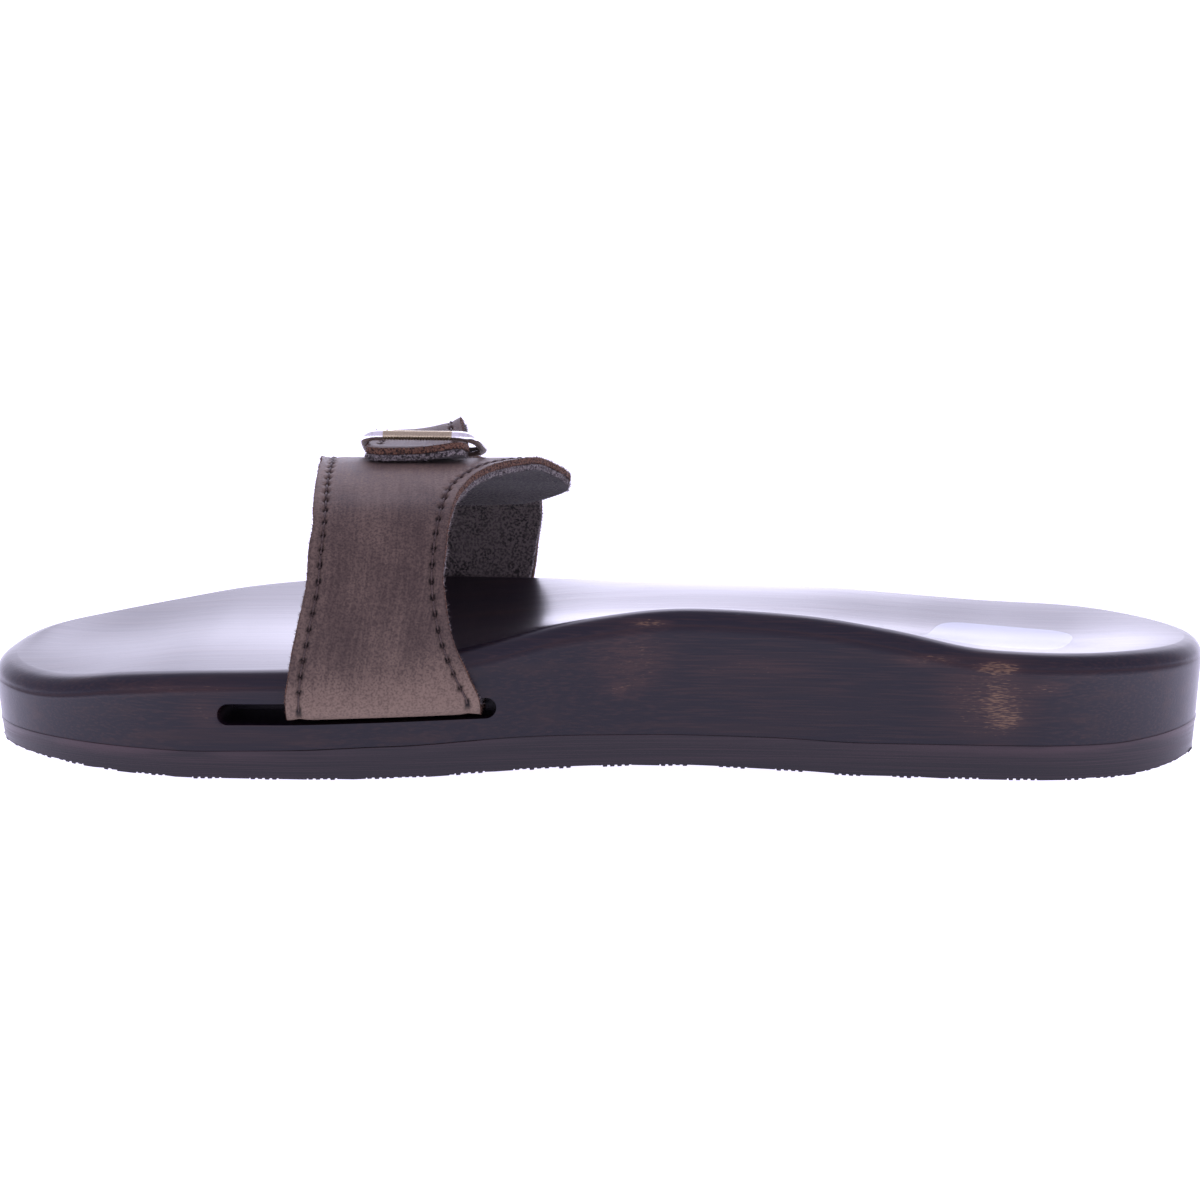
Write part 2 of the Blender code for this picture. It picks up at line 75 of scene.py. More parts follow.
# How finely the sole is drawn
OUTLINE_STATIONS = 180
WALL_ROWS = 12
ROUND_STEPS = 10
TOP_STEPS = 64
CREASE_ANGLE = 40.0
ROLL_SMOOTHING = 14
ROLL_RINGS = 3
ROLL_TOP_COLUMNS = 4

# The turn of the rim round the toe tip is evened out: fully before one X, not at all past the other
TOE_EASING = 40
TOE_EASED_X = -112.0
TOE_KEPT_X = -98.0

# How far under the edge roll its crease starts and is half deep, in depths of the crease
CREASE_START = 1.6
CREASE_HALF_DEEP = 0.8
CREASE_FADE = 0.4


def table(names, *rows):
    """Columns of a table by name. Each row is one place on the sandal and starts with what that place is."""
    return {name: tuple(row[i + 1] for row in rows) for i, name in enumerate(names)}


BODY_WIDTHS = table(
    ("x", "medial", "lateral"),
    ("toes", TOE_X, 45.6, 50.0),
    ("ball of the big toe", -64.0, 46.0, 50.0),
    ("ball of the little toe", -43.0, 43.2, 50.0),
    ("behind the ball", -21.0, 38.4, 46.2),
    ("front of the arch", 0.0, 34.3, 40.6),
    ("arch", 22.0, 31.6, 37.0),
    ("rear of the arch", 45.0, 31.0, 34.2),
    ("front of the heel", 67.0, 31.5, 33.0),
    ("heel", 90.0, 31.8, 32.2),
    ("back of the heel", HEEL_X, 31.5, 31.5),
)
FLOOR_LINE = table(
    ("x", "z", "rubber"),
    ("toe tip", TOE_X, 2.4, 4.8),
    ("toe spring", -112.0, 1.3, 5.5),
    ("start of the toe spring", -94.0, 0.4, 6.0),
    ("front of the forefoot flat", -80.0, 0.0, 6.2),
    ("forefoot flat", -60.0, 0.0, 6.7),
    ("rear of the forefoot flat", -40.0, 0.0, 7.3),
    ("front of the arch", -12.0, 1.2, 7.5),
    ("top of the arch", 14.0, 1.7, 7.1),
    ("rear of the arch", 40.0, 1.0, 7.4),
    ("front of the heel flat", 62.0, 0.0, 7.6),
    ("heel flat", 87.0, 0.0, 7.7),
    ("rear of the heel flat", 112.0, 0.0, 7.8),
    ("heel bevel", 122.0, 0.6, 7.8),
    ("back of the heel", HEEL_X, 2.4, 7.2),
)
FOOTBED_TOP = table(
    ("x", "medial", "trough", "lateral", "edge_round"),
    ("toe tip", TOE_X, 21.2, 20.3, 21.2, 4.6),
    ("round of the toe", -128.0, 20.3, 20.5, 23.3, 4.5),
    ("under the toe tips", -118.0, 19.8, 20.9, 23.8, 4.4),
    ("toe hollow", -102.0, 21.9, 22.3, 25.4, 4.0),
    ("toe ridge", -84.0, 23.2, 24.6, 27.5, 3.6),
    ("ball hollow", -66.0, 23.7, 24.9, 28.6, 3.4),
    ("ball", -45.0, 24.7, 24.9, 29.2, 3.4),
    ("behind the ball", -24.0, 28.0, 26.4, 29.8, 3.4),
    ("front of the arch", 0.0, 33.6, 28.6, 30.8, 3.4),
    ("top of the arch", 22.0, 36.0, 29.2, 31.3, 3.4),
    ("rear of the arch", 45.0, 34.9, 28.6, 31.1, 3.4),
    ("front of the heel cup", 66.0, 31.9, 27.2, 29.9, 3.4),
    ("heel cup", 86.0, 28.0, 25.9, 28.7, 3.4),
    ("middle of the heel", 106.0, 27.3, 25.4, 28.1, 3.4),
    ("rear of the heel cup", 122.0, 27.0, 25.4, 27.2, 3.6),
    ("back of the heel", HEEL_X, 26.6, 25.8, 26.6, 3.8),
)

# Where the stain is rubbed through to pale wood: soft patches on the wall. length and height are half sizes
RUBBED_PATCHES = table(
    ("side", "x", "z", "length", "height", "amount"),
    ("below the arch's crest", -1, 10.5, 25.5, 15.0, 11.0, 0.46),
    ("rim of the arch", -1, 13.7, 33.2, 8.0, 1.5, 0.80),
    ("fleck below the arch", -1, 11.0, 22.3, 2.6, 0.9, 0.95),
    ("low flecks below the arch", -1, 8.4, 18.5, 8.0, 2.6, 0.55),
    ("rear of the arch", -1, 36.0, 23.5, 24.0, 5.0, 0.34),
    ("rim before the heel", -1, 74.0, 26.2, 12.0, 2.0, 0.60),
    ("strip beside the heel", -1, 88.4, 24.4, 8.0, 2.8, 1.0),
    ("band beside the heel", -1, 88.6, 17.0, 9.0, 12.0, 0.74),
    ("low band beside the heel", -1, 90.5, 13.6, 6.0, 4.5, 0.85),
    ("faint rub beside the heel", -1, 86.5, 17.5, 18.0, 15.0, 0.52),
    ("flecks behind it", -1, 98.4, 20.3, 9.0, 2.0, 0.58),
    ("front of the slot", -1, -80.0, 14.5, 7.0, 5.5, 0.40),
    ("rim in front of the strap", -1, -82.0, 19.6, 26.0, 2.2, 0.40),
    ("outer side of the heel", 1, 78.0, 18.0, 20.0, 11.0, 0.6),
    ("outer side of the ball", 1, -86.0, 17.0, 14.0, 8.0, 0.35),
)

# Strap slots
SLOT_FRONT_X = -77.0
SLOT_REAR_X = -18.2
SLOT_MID_X = (SLOT_FRONT_X + SLOT_REAR_X) / 2
SLOT_Z = 14.7
SLOT_HEIGHT = 4.4
SLOT_RISE = 0.9
SLOT_SLOPE = SLOT_RISE / (SLOT_REAR_X - SLOT_FRONT_X)
SLOT_DEPTH = 16.0
SLOT_OVERRUN = 2.0
SLOT_PROUD = 0.02
SLOT_WALL_LEAN = 0.45
SLOT_RUN_STEPS = 40
SLOT_END_STEPS = 14
SLOT_MOUTH_STEPS = 5

# Straps: each row is a place along the inner face, from the slot upward. hug is how far it follows the wood
STRAP_REF_X = -42.0
STRAP_COLUMNS = ("y", "z", "hug", "front", "rear", "rear_rise")
MEDIAL_STRAP = table(
    STRAP_COLUMNS,
    ("end in the slot", -35.5, 16.5, 1.0, -61.8, -21.4, 0.0),
    ("in the slot", -39.0, 16.5, 1.0, -61.8, -21.4, 0.0),
    ("slot mouth", -42.0, 16.5, 1.0, -61.8, -21.4, 0.0),
    ("bend out of the slot", -43.4, 16.9, 1.0, -61.8, -21.4, 0.0),
    ("above the bend", -43.7, 18.0, 1.0, -61.8, -21.8, 0.0),
    ("rim of the wood", -43.8, 23.0, 1.0, -61.4, -24.2, 0.0),
    ("low side", -43.2, 33.0, 0.8, -59.6, -27.6, 0.0),
    ("waist of the strap", -40.6, 43.2, 0.55, -57.8, -29.0, 0.0),
    ("high side", -34.6, 51.8, 0.25, -57.6, -28.4, 0.0),
    ("shoulder", -24.0, 57.8, 0.05, -58.7, -27.2, 0.0),
    ("crest", -8.0, 60.9, 0.0, -60.0, -21.0, 0.0),
    ("flare", 6.0, 59.8, 0.0, -61.8, -14.1, 0.5),
    ("lateral slope", 20.0, 55.6, 0.0, -61.9, -9.0, 0.0),
    ("tip of the flare", 25.0, 53.85, 0.0, -61.4, -8.6, 0.1),
    ("before the free end", 30.0, 51.9, 0.0, -60.5, -9.6, 0.2),
    ("round of the free end", 35.5, 48.9, 0.0, -57.0, -14.8, 0.5),
    ("free end", 38.6, 47.0, 0.0, -50.0, -20.0, 0.8),
)
LATERAL_STRAP = table(
    STRAP_COLUMNS,
    ("end in the slot", 40.0, 16.5, 1.0, -62.0, -20.6, 0.0),
    ("in the slot", 45.0, 16.5, 1.0, -62.0, -20.6, 0.0),
    ("slot mouth", 48.6, 16.5, 1.0, -62.0, -20.6, 0.0),
    ("bend out of the slot", 50.1, 16.9, 1.0, -62.0, -20.6, 0.0),
    ("above the bend", 50.4, 18.0, 1.0, -62.0, -20.4, 0.0),
    ("rim of the wood", 50.5, 26.0, 1.0, -61.8, -20.1, 0.0),
    ("low side", 49.6, 36.0, 0.6, -61.0, -18.7, 0.0),
    ("high side", 46.9, 45.4, 0.2, -60.2, -17.2, 0.0),
)
PIECE_GAP = 0.3
STRAP_WALL = 3.0
STRAP_SPACING = 0.55
STEPS_PER_ROW = 40
SHORT_OF_END = 0.001
CROWN_SHARE = 0.7
STRAP_COLUMN_STEPS = 72
TAB_UNSEWN = 7.0

# Soft ripples across the leather: place along it from the slot's end, half width, height of ridge or trough
MEDIAL_RIPPLES = (
    ("above the slot's bend", 16.0, 2.6, -0.16),
    ("low side", 22.5, 3.4, 0.12),
    ("waist", 40.0, 5.0, -0.14),
    ("high side", 49.0, 3.6, 0.16),
    ("shoulder", 55.5, 3.0, -0.16),
    ("before the buckle", 66.0, 4.0, 0.10),
)
LATERAL_RIPPLES = (
    ("above the slot's bend", 17.0, 2.6, -0.16),
    ("low side", 24.0, 3.4, 0.12),
    ("high side", 37.0, 4.0, -0.16),
    ("shoulder", 44.0, 3.2, 0.14),
)

# Buckle and the tab that runs through it
BUCKLE_X = -38.8
BUCKLE_NEAR_WIDTH = 26.4
BUCKLE_FAR_WIDTH = 28.8
BUCKLE_NEAR_Y = -6.0
BUCKLE_FAR_Y = 10.5
BUCKLE_BAR = 2.0
BUCKLE_TALL = 2.2
BUCKLE_NEAR_Z = 69.3
BUCKLE_CLEARANCE = 0.1
BUCKLE_CORNER = 7.0
END_SHARE = 0.95
MIDDLE_SHARE = 0.49
BUCKLE_CORNER_STEPS = 12
BAR_SIDES = 40
GRIP_LENGTH = 15.6
GRIP_BAR = 2.0
GRIP_OVERLAP = 0.2
TAB_WIDTH = 22.4
TAB_CLEARANCE = 0.6
TAB_FRONT_X = BUCKLE_X - TAB_WIDTH / 2
TAB_REAR_X = BUCKLE_X + TAB_WIDTH / 2
TAB_OVER_BAR = BUCKLE_TALL + PIECE_GAP + TAB_CLEARANCE
TAB_RUN = table(
    ("y", "lift", "front", "rear", "rear_rise"),
    ("foot of the shoulder", 34.0, 1.0, -59.6, -18.0, 0.0),
    ("shoulder", 27.5, 0.1, -56.6, -26.0, 0.0),
    ("neck", 19.0, 0.5, -52.0, -30.8, 0.6),
    ("over the far bar", BUCKLE_FAR_Y, TAB_OVER_BAR, -50.6, -30.2, 3.4),
    ("between the bars", 2.5, 1.2, TAB_FRONT_X, -29.0, 1.6),
    ("under the near bar", BUCKLE_NEAR_Y, 0.1, TAB_FRONT_X, TAB_REAR_X, 0.2),
    ("start of the round tip", -8.8, 0.15, -49.7, -27.9, 1.2),
    ("tip", -10.8, 0.25, -47.0, -30.0, 1.7),
)


def length_property(label, description, millimetres):
    return bpy.props.FloatProperty(
        name=label, description=description, default=millimetres * MM, unit="LENGTH", precision=5
    )


def colour_property(label, description, red, green, blue):
    return bpy.props.FloatVectorProperty(
        name=label, description=description, default=(red, green, blue), subtype="COLOR", min=0.0, max=1.0
    )


def angle_property(label, description, degrees):
    return bpy.props.FloatProperty(
        name=label, description=description, default=math.radians(degrees), subtype="ANGLE"
    )


def strength_property(label, description, strength):
    return bpy.props.FloatProperty(name=label, description=description, default=strength, min=0.0)


class SandalSizes(bpy.types.PropertyGroup):
    """Sizes of the detail that the solids leave out"""

    crease: length_property("Edge crease", "Depth of the line that the router left under the edge roll", 0.07)
    slot_mouth: length_property("Slot mouth", "Rounding of the wood at the mouth of each slot", 0.38)
    tread_depth: length_property("Tread depth", "Height of the ribs under the outsole", 0.45)
    tread_block: length_property("Tread block", "Side of each square of ribs", 6.2)
    lining: length_property("Lining", "Thickness of the suede lining", 1.35)
    edge_round: length_property("Edge rounding", "How far the cut edges of the straps bulge", 0.34)
    stitch_pitch: length_property("Stitch pitch", "Distance between needle holes", 3.3)
    stitch_inset: length_property("Stitch inset", "Distance of the seam from the cut edge", 2.6)
    thread: length_property("Thread", "Thickness of the thread", 0.5)
    suede_fibre: length_property("Suede fibre", "Longest fibre on a cut suede edge", 0.9)
    leather_fibre: length_property("Leather fibre", "Longest fibre on a cut leather edge", 0.55)
    tooth_pitch: length_property("Tooth pitch", "Distance between the teeth of the grip bar", 0.65)
    tooth_depth: length_property("Tooth depth", "Depth of the teeth of the grip bar", 0.28)


class SandalColours(bpy.types.PropertyGroup):
    """Colours of the finishes"""

    stain: colour_property("Stain", "Stained wood", 0.0045, 0.0027, 0.0085)
    stain_red: colour_property("Reddish stain", "Stained wood where the grain is open", 0.020, 0.0090, 0.0100)
    thin_stain: colour_property("Thin stain", "Stained wood where it is rubbed thin", 0.040, 0.018, 0.016)
    bare_wood: colour_property("Bare wood", "Wood where the stain is rubbed through", 0.165, 0.096, 0.053)
    label: colour_property("Blank label", "Pale blank mark on the heel seat", 0.17, 0.20, 0.27)
    rubber: colour_property("Rubber", "Outsole", 0.007, 0.0045, 0.0075)
    rubber_red: colour_property("Ground rubber", "Outsole, ground along the seam", 0.045, 0.025, 0.029)
    # Pale leather serves both the pull-up paleness at the bends and painted light on the strap
    leather: colour_property("Leather", "Waxed leather", 0.058, 0.0385, 0.032)
    leather_pale_and_lit: colour_property("Pale leather", "Leather where it is bent or pulled", 0.212, 0.152, 0.112)
    leather_cut: colour_property("Cut leather", "Raw edge of the leather", 0.190, 0.100, 0.062)
    suede: colour_property("Suede", "Lining", 0.088, 0.075, 0.066)
    suede_fibre: colour_property("Suede fibres", "Loose fibres of the lining's cut edge", 0.31, 0.28, 0.265)
    thread: colour_property("Thread", "Sewing thread", 0.040, 0.026, 0.021)
    nickel: colour_property("Nickel", "Buckle frame", 0.80, 0.79, 0.78)
    brass: colour_property("Brass", "Grip bar", 0.44, 0.375, 0.25)


class SandalStage(bpy.types.PropertyGroup):
    """Camera and light"""

    azimuth: angle_property("Azimuth", "Camera's turn toward the heel", 5.25)
    elevation: angle_property("Elevation", "Camera's angle above the floor", 9.876)
    distance: length_property("Distance", "From the camera to the sandal", 1000.0)
    lens: bpy.props.FloatProperty(
        name="Lens",
        description="Focal length in millimetres",
        default=135.77,
        min=1.0,
        subtype="DISTANCE_CAMERA",
    )
    target: bpy.props.FloatVectorProperty(
        name="Target",
        description="Point that the camera faces",
        default=(0.5 * MM, 0.0, 32.1 * MM),
        subtype="TRANSLATION",
        unit="LENGTH",
    )
    sky: colour_property("Sky", "Colour of the soft light all round", 0.78, 0.71, 1.0)
    back_sky: colour_property("Back sky", "Colour of the light from the lateral side", 0.82, 0.80, 1.0)
    front_light: strength_property("Front light", "Strength of the light from the medial side", 0.95)
    back_light: strength_property("Back light", "Strength of the light low on the lateral side", 5.3)
    floor: colour_property("Floor", "Plain pale floor", 0.10, 0.10, 0.10)
    floor_light: colour_property("Floor light", "Colour of the light table under the floor", 0.80, 0.76, 1.0)
    floor_glow: strength_property("Floor glow", "Strength of the light table under the floor", 1.3)
    side_glow: strength_property("Side glow", "Strength of the light table past the toe and the heel", 2.7)


def through(columns, column, at):
    """A smooth curve through one column of a table, read at the place or places `at` along its x column."""
    knots = np.array(columns["x"], float)
    values = np.array(columns[column], float)
    steps = np.diff(values) / np.diff(knots)
    slopes = np.zeros_like(values)
    slopes[0], slopes[-1] = steps[0], steps[-1]
    same_way = steps[:-1] * steps[1:] > 0
    slopes[1:-1][same_way] = 2 * (steps[:-1] * steps[1:])[same_way] / (steps[:-1] + steps[1:])[same_way]
    at = np.clip(np.asarray(at, float), knots[0], knots[-1])
    i = np.clip(np.searchsorted(knots, at) - 1, 0, len(knots) - 2)
    width = knots[i + 1] - knots[i]
    t = (at - knots[i]) / width
    return (
        values[i] * (1 + 2 * t) * (1 - t) ** 2
        + slopes[i] * width * t * (1 - t) ** 2
        + values[i + 1] * t * t * (3 - 2 * t)
        + slopes[i + 1] * width * t * t * (t - 1)
    )


def unit(vectors):
    """The same directions, each of length 1."""
    return vectors / np.linalg.norm(vectors, axis=-1, keepdims=True)


def run_along(points):
    """The distance along a path to each of its points."""
    return np.concatenate([[0.0], np.cumsum(np.linalg.norm(np.diff(points, axis=0), axis=1))])


def smooth_step(value, low, high):
    """0 below low, 1 above high, with a soft rise between."""
    t = np.clip((np.asarray(value, float) - low) / (high - low), 0, 1)
    return t * t * (3 - 2 * t)


def wander(places, length, seed):
    """A smooth random line between -1 and 1 whose waves are about `length` long."""
    places = np.asarray(places, float)
    knots = np.arange(places.min() - length, places.max() + 2 * length, length)
    heights = np.random.default_rng(seed).uniform(-1, 1, len(knots))
    return through({"x": knots, "height": heights}, "height", places)


def round_end(distance, length):
    """1 along the body, falling to 0 at the tip as half an ellipse does, by the distance from it."""
    t = np.clip(1 - distance / length, 0.0, 1.0)
    return np.sqrt(1 - t * t)


def side_y(side, x):
    """Y of the sole's edge on the medial or lateral side, at its widest level."""
    x = np.asarray(x, float)
    sign = -1.0 if side == "medial" else 1.0
    toe_length = MEDIAL_TOE_LENGTH if side == "medial" else LATERAL_TOE_LENGTH
    body = sign * through(BODY_WIDTHS, side, x)
    toe = TOE_TIP_Y + (body - TOE_TIP_Y) * round_end(x - TOE_X, toe_length)
    return np.where(x < 0, toe, body * round_end(HEEL_X - x, HEEL_LENGTH))


def outline():
    """The sole's plan as a closed ring: toe tip, medial side to the heel tip, lateral side back."""
    x = TOE_X * np.cos(np.linspace(0, math.pi, OUTLINE_STATIONS + 1))
    medial = np.column_stack([x, side_y("medial", x)])
    lateral = np.column_stack([x, side_y("lateral", x)])
    return np.vstack([medial, lateral[-2:0:-1]])


def inset(ring, distance):
    """The ring moved inward by a distance, which may differ from point to point."""
    along = np.roll(ring, -1, axis=0) - np.roll(ring, 1, axis=0)
    inward = unit(np.column_stack([-along[:, 1], along[:, 0]]))
    return ring + inward * np.broadcast_to(distance, len(ring))[:, None]


def across_share(x, y):
    """Where a point lies across the sole: -1 on the medial edge, 0 in the middle, 1 on the lateral edge."""
    medial, lateral = side_y("medial", x), side_y("lateral", x)
    half = np.maximum((lateral - medial) / 2, 1e-6)
    return np.clip((y - (lateral + medial) / 2) / half, -1, 1)


def rim_height(x, y):
    """Height of the two rims, blended evenly across the sole."""
    share = across_share(x, y)
    medial, lateral = through(FOOTBED_TOP, "medial", x), through(FOOTBED_TOP, "lateral", x)
    return medial * (1 - share) / 2 + lateral * (1 + share) / 2


def hollow(share):
    """0 along the trough, rising softly to 1 at the rim, where it levels out."""
    share = np.abs(share)
    return share * share * (9 - 5 * share) / 4


def carved_height(x, rim, share):
    """Height of the carved footbed: level with the rim, where share is -1 or 1, and hollowed between."""
    toe = 1 - (x - TOE_X - FOOTBED_TOP["edge_round"][0]) / TOE_RISE_LENGTH
    heel = 1 - (HEEL_X - FOOTBED_TOP["edge_round"][-1] - x) / HEEL_RISE_LENGTH
    ends = hollow(np.clip(np.maximum(toe, heel), 0, 1))
    trough = through(FOOTBED_TOP, "trough", x)
    return trough + (rim - trough) * (1 - (1 - hollow(share)) * (1 - ends))


def floor_height(x):
    """Height of the outsole's underside above the floor."""
    return through(FLOOR_LINE, "z", x)


def rubber_top(x):
    """Height of the line where the rubber meets the wood."""
    return floor_height(x) + through(FLOOR_LINE, "rubber", x)


def with_height(ring, height):
    return np.column_stack([ring, np.broadcast_to(height, len(ring))])


class Shell:
    """Collects points in millimetres, and the faces between them, for one mesh."""

    def __init__(self):
        self.points = []
        self.faces = []
        self.count = 0

    def add(self, points):
        """Takes an array of points and returns their numbers in the same arrangement."""
        points = np.asarray(points, float)
        flat = points.reshape(-1, 3)
        numbers = self.count + np.arange(len(flat)).reshape(points.shape[:-1])
        self.points.append(flat)
        self.count += len(flat)
        return numbers

    def sheet(self, grid, closed=False):
        """Quads between the rows of a grid of point numbers. closed joins each row's end to its start."""
        if closed:
            grid = np.concatenate([grid, grid[:, :1]], axis=1)
        corners = [grid[:-1, :-1], grid[1:, :-1], grid[1:, 1:], grid[:-1, 1:]]
        self.faces += np.stack(corners, axis=2).reshape(-1, 4).tolist()

    def fan(self, tip, row):
        self.faces += [[int(tip), int(a), int(b)] for a, b in zip(row, row[1:])]

    def tube(self, rings):
        """Quads through a row of closed rings, with a flat face over each end."""
        self.sheet(np.array(rings), closed=True)
        self.faces += [rings[0].tolist(), rings[-1].tolist()]

    def lid(self, ring, *inner):
        """Closes the sole's ring with the rungs that cross it, and a fan at the toe and at the heel."""
        medial, lateral = ring[1:OUTLINE_STATIONS], ring[:-OUTLINE_STATIONS:-1]
        rows = np.column_stack([medial, *inner, lateral])
        self.sheet(rows)
        self.fan(ring[0], rows[0][::-1])
        self.fan(ring[OUTLINE_STATIONS], rows[-1])

    def to_object(self, name, finish, crease_angle=CREASE_ANGLE, **marks):
        """One object in the frame. marks are numbers or vectors kept at its points for the finish to read."""
        mesh = bpy.data.meshes.new(name)
        mesh.from_pydata((np.vstack(self.points) * MM + (0.0, AXIS_Y, 0.0)).tolist(), [], self.faces)
        shape = bmesh.new()
        shape.from_mesh(mesh)
        bmesh.ops.recalc_face_normals(shape, faces=shape.faces)
        shape.to_mesh(mesh)
        shape.free()
        for mark, values in marks.items():
            keep_mark(mesh, mark, values)
        obj = bpy.data.objects.new(name, mesh)
        bpy.context.scene.collection.objects.link(obj)
        if finish:
            mesh.materials.append(finish)
        smooth(mesh, crease_angle)
        return obj


def keep_mark(mesh, mark, values):
    values = np.asarray(values, np.float32)
    kind, field = ("FLOAT", "value") if values.ndim == 1 else ("FLOAT_VECTOR", "vector")
    mesh.attributes.new(mark, kind, "POINT").data.foreach_set(field, values.ravel())


def smooth(mesh, crease_angle):
    mesh.shade_smooth()
    mesh.set_sharp_from_angle(angle=math.radians(crease_angle))


def show(piece, slot, *nodes):
    """Puts the piece on the sandal's one body, in place of the solids named. The slot argument is not used.
    """
    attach(piece, "root")
    if nodes:
        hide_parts(*nodes)


class Nodes:
    """Makes the nodes of one node tree, each fed by values or by the outputs of others."""

    def __init__(self, tree):
        self.tree = tree

    def feed(self, socket, value):
        if isinstance(value, bpy.types.NodeSocket):
            self.tree.links.new(value, socket)
        else:
            socket.default_value = value

    def node(self, kind, inputs=None, output=0, **settings):
        made = self.tree.nodes.new(kind)
        for key, value in settings.items():
            setattr(made, key, value)
        for key, value in (inputs or {}).items():
            self.feed(made.inputs[key], value)
        return made.outputs[output]

    def rise(self, value, low, high, start=0.0, end=1.0):
        """Goes softly from start to end while the value goes from low to high."""
        limits = {"Value": value, "From Min": low, "From Max": high, "To Min": start, "To Max": end}
        return self.node("ShaderNodeMapRange", limits, interpolation_type="SMOOTHSTEP")

    def maths(self, operation, first, second):
        return self.node("ShaderNodeMath", {0: first, 1: second}, operation=operation)

    def mix(self, share, first, second):
        """Mixes two colours, each a colour property or the output of a node."""
        first, second = (c if isinstance(c, bpy.types.NodeSocket) else (*c, 1.0) for c in (first, second))
        return self.node("ShaderNodeMix", {0: share, 6: first, 7: second}, output=2, data_type="RGBA")


class Finish(Nodes):
    """A procedural material: one Principled shader and the nodes that feed it. Grain is in millimetres."""

    def __init__(self, name, **sockets):
        self.material = bpy.data.materials.new(name)
        self.material.use_nodes = True
        super().__init__(self.material.node_tree)
        self.shader = self.tree.nodes["Principled BSDF"]
        self.place = self.node("ShaderNodeTexCoord", output="Object")
        for socket, value in sockets.items():
            self.set(socket.replace("_", " ").title().replace("Ior", "IOR"), value)

    def set(self, socket, value):
        self.feed(self.shader.inputs[socket], value)

    def noise(self, *lumps, detail=3.0, place=None):
        """Noise whose lumps have one length, or one along each axis."""
        step = MM if place is None else 1.0
        scale = [1 / (step * lump) for lump in (lumps if len(lumps) == 3 else lumps * 3)]
        spread = self.node("ShaderNodeMapping", {"Vector": place or self.place, "Scale": scale})
        return self.node("ShaderNodeTexNoise", {"Vector": spread, "Scale": 1.0, "Detail": detail})

    def mark(self, name, output="Fac"):
        return self.node("ShaderNodeAttribute", attribute_name=name, output=output)

    def relief(self, *layers):
        """Bumps of (height from 0 to 1, depth in mm), laid over each other."""
        normal = None
        for height, depth in layers:
            bump = {"Height": height, "Distance": depth * MM, "Strength": 1.0}
            if normal:
                bump["Normal"] = normal
            normal = self.node("ShaderNodeBump", bump)
        self.set("Normal", normal)
        return normal


def wood_finish(colours):
    """Dark stain under satin lacquer: lengthwise grain, open pores, patches where it is rubbed through."""
    lacquer = {"coat_weight": 1.0, "coat_roughness": 0.29, "coat_ior": 1.42}
    finish = Finish("stained_wood", specular_ior_level=0.0, **lacquer)
    broad = finish.noise(70.0, 3.2, 3.2)
    fine = finish.noise(16.0, 0.42, 0.42, detail=4.0)
    pores = finish.rise(finish.noise(5.0, 0.34, 0.34, detail=2.0), 0.66, 0.78)
    stain = finish.mix(finish.rise(broad, 0.46, 0.82), colours.stain, colours.stain_red)
    stain = finish.mix(finish.rise(fine, 0.44, 0.72, 0.0, 0.4), stain, colours.thin_stain)
    stain = finish.mix(finish.rise(finish.mark("crease"), 0.0, 1.0, 0.0, 0.85), stain, colours.stain_red)
    flecks = finish.noise(1.5, 5.0, 0.15, detail=4.0)
    rubbed = finish.mark("rubbed")
    thin = finish.maths("MULTIPLY", finish.rise(rubbed, 0.0, 0.6), finish.rise(fine, 0.3, 0.7, 0.35, 0.95))
    stain = finish.mix(thin, stain, colours.thin_stain)
    bare = finish.rise(finish.maths("ADD", flecks, finish.rise(rubbed, 0.0, 1.0, -0.24, 0.12)), 0.48, 0.74)
    colour = finish.mix(bare, stain, colours.bare_wood)
    label = label_share(finish)
    finish.set("Base Color", finish.mix(label, colour, colours.label))
    normal = finish.relief((fine, 0.018), (broad, 0.05), (finish.maths("SUBTRACT", 1.0, pores), 0.014))
    finish.set("Coat Normal", normal)
    return finish.material


LABEL_X = 88.2
LABEL_Y = -6.2
LABEL_HALF_LENGTH = 15.4
LABEL_HALF_WIDTH = 16.0
LABEL_TURN = -8.0
LABEL_SQUARENESS = 5.0
LABEL_FLOOR = 18.0


def label_share(finish):
    """1 on the blank mark of the heel seat, 0 round it."""
    size = (LABEL_HALF_LENGTH * MM, LABEL_HALF_WIDTH * MM, MM)
    spread = {
        "Vector": finish.place,
        "Location": (LABEL_X * MM, LABEL_Y * MM + AXIS_Y, LABEL_FLOOR * MM),
        "Rotation": (0.0, 0.0, math.radians(LABEL_TURN)),
        "Scale": size,
    }
    place = finish.node("ShaderNodeMapping", spread, vector_type="TEXTURE")
    x, y, z = (finish.node("ShaderNodeSeparateXYZ", {0: place}, output=axis) for axis in range(3))
    away = [finish.maths("POWER", finish.maths("ABSOLUTE", share, 0.0), LABEL_SQUARENESS) for share in (x, y)]
    inside = finish.rise(finish.maths("ADD", *away), 0.94, 1.0, 1.0, 0.0)
    return finish.maths("MULTIPLY", inside, finish.rise(z, -0.1, 0.0))


def rubber_finish(colours):
    """Ground brown rubber: level scratches round the edge, reddish where it was ground along the seam."""
    finish = Finish("outsole_rubber", ior=1.45)
    scratches = finish.noise(45.0, 45.0, 0.22)
    cloud = finish.noise(22.0, 22.0, 3.0)
    ground = finish.maths("MULTIPLY", finish.mark("ground"), finish.rise(cloud, 0.30, 0.62))
    colour = finish.mix(finish.rise(scratches, 0.4, 0.7, 0.0, 0.5), colours.rubber, colours.rubber_red)
    finish.set("Base Color", finish.mix(ground, colour, colours.rubber_red))
    finish.set("Roughness", finish.rise(scratches, 0.3, 0.7, 0.28, 0.42))
    finish.relief((scratches, 0.05), (finish.noise(0.5), 0.02))
    return finish.material


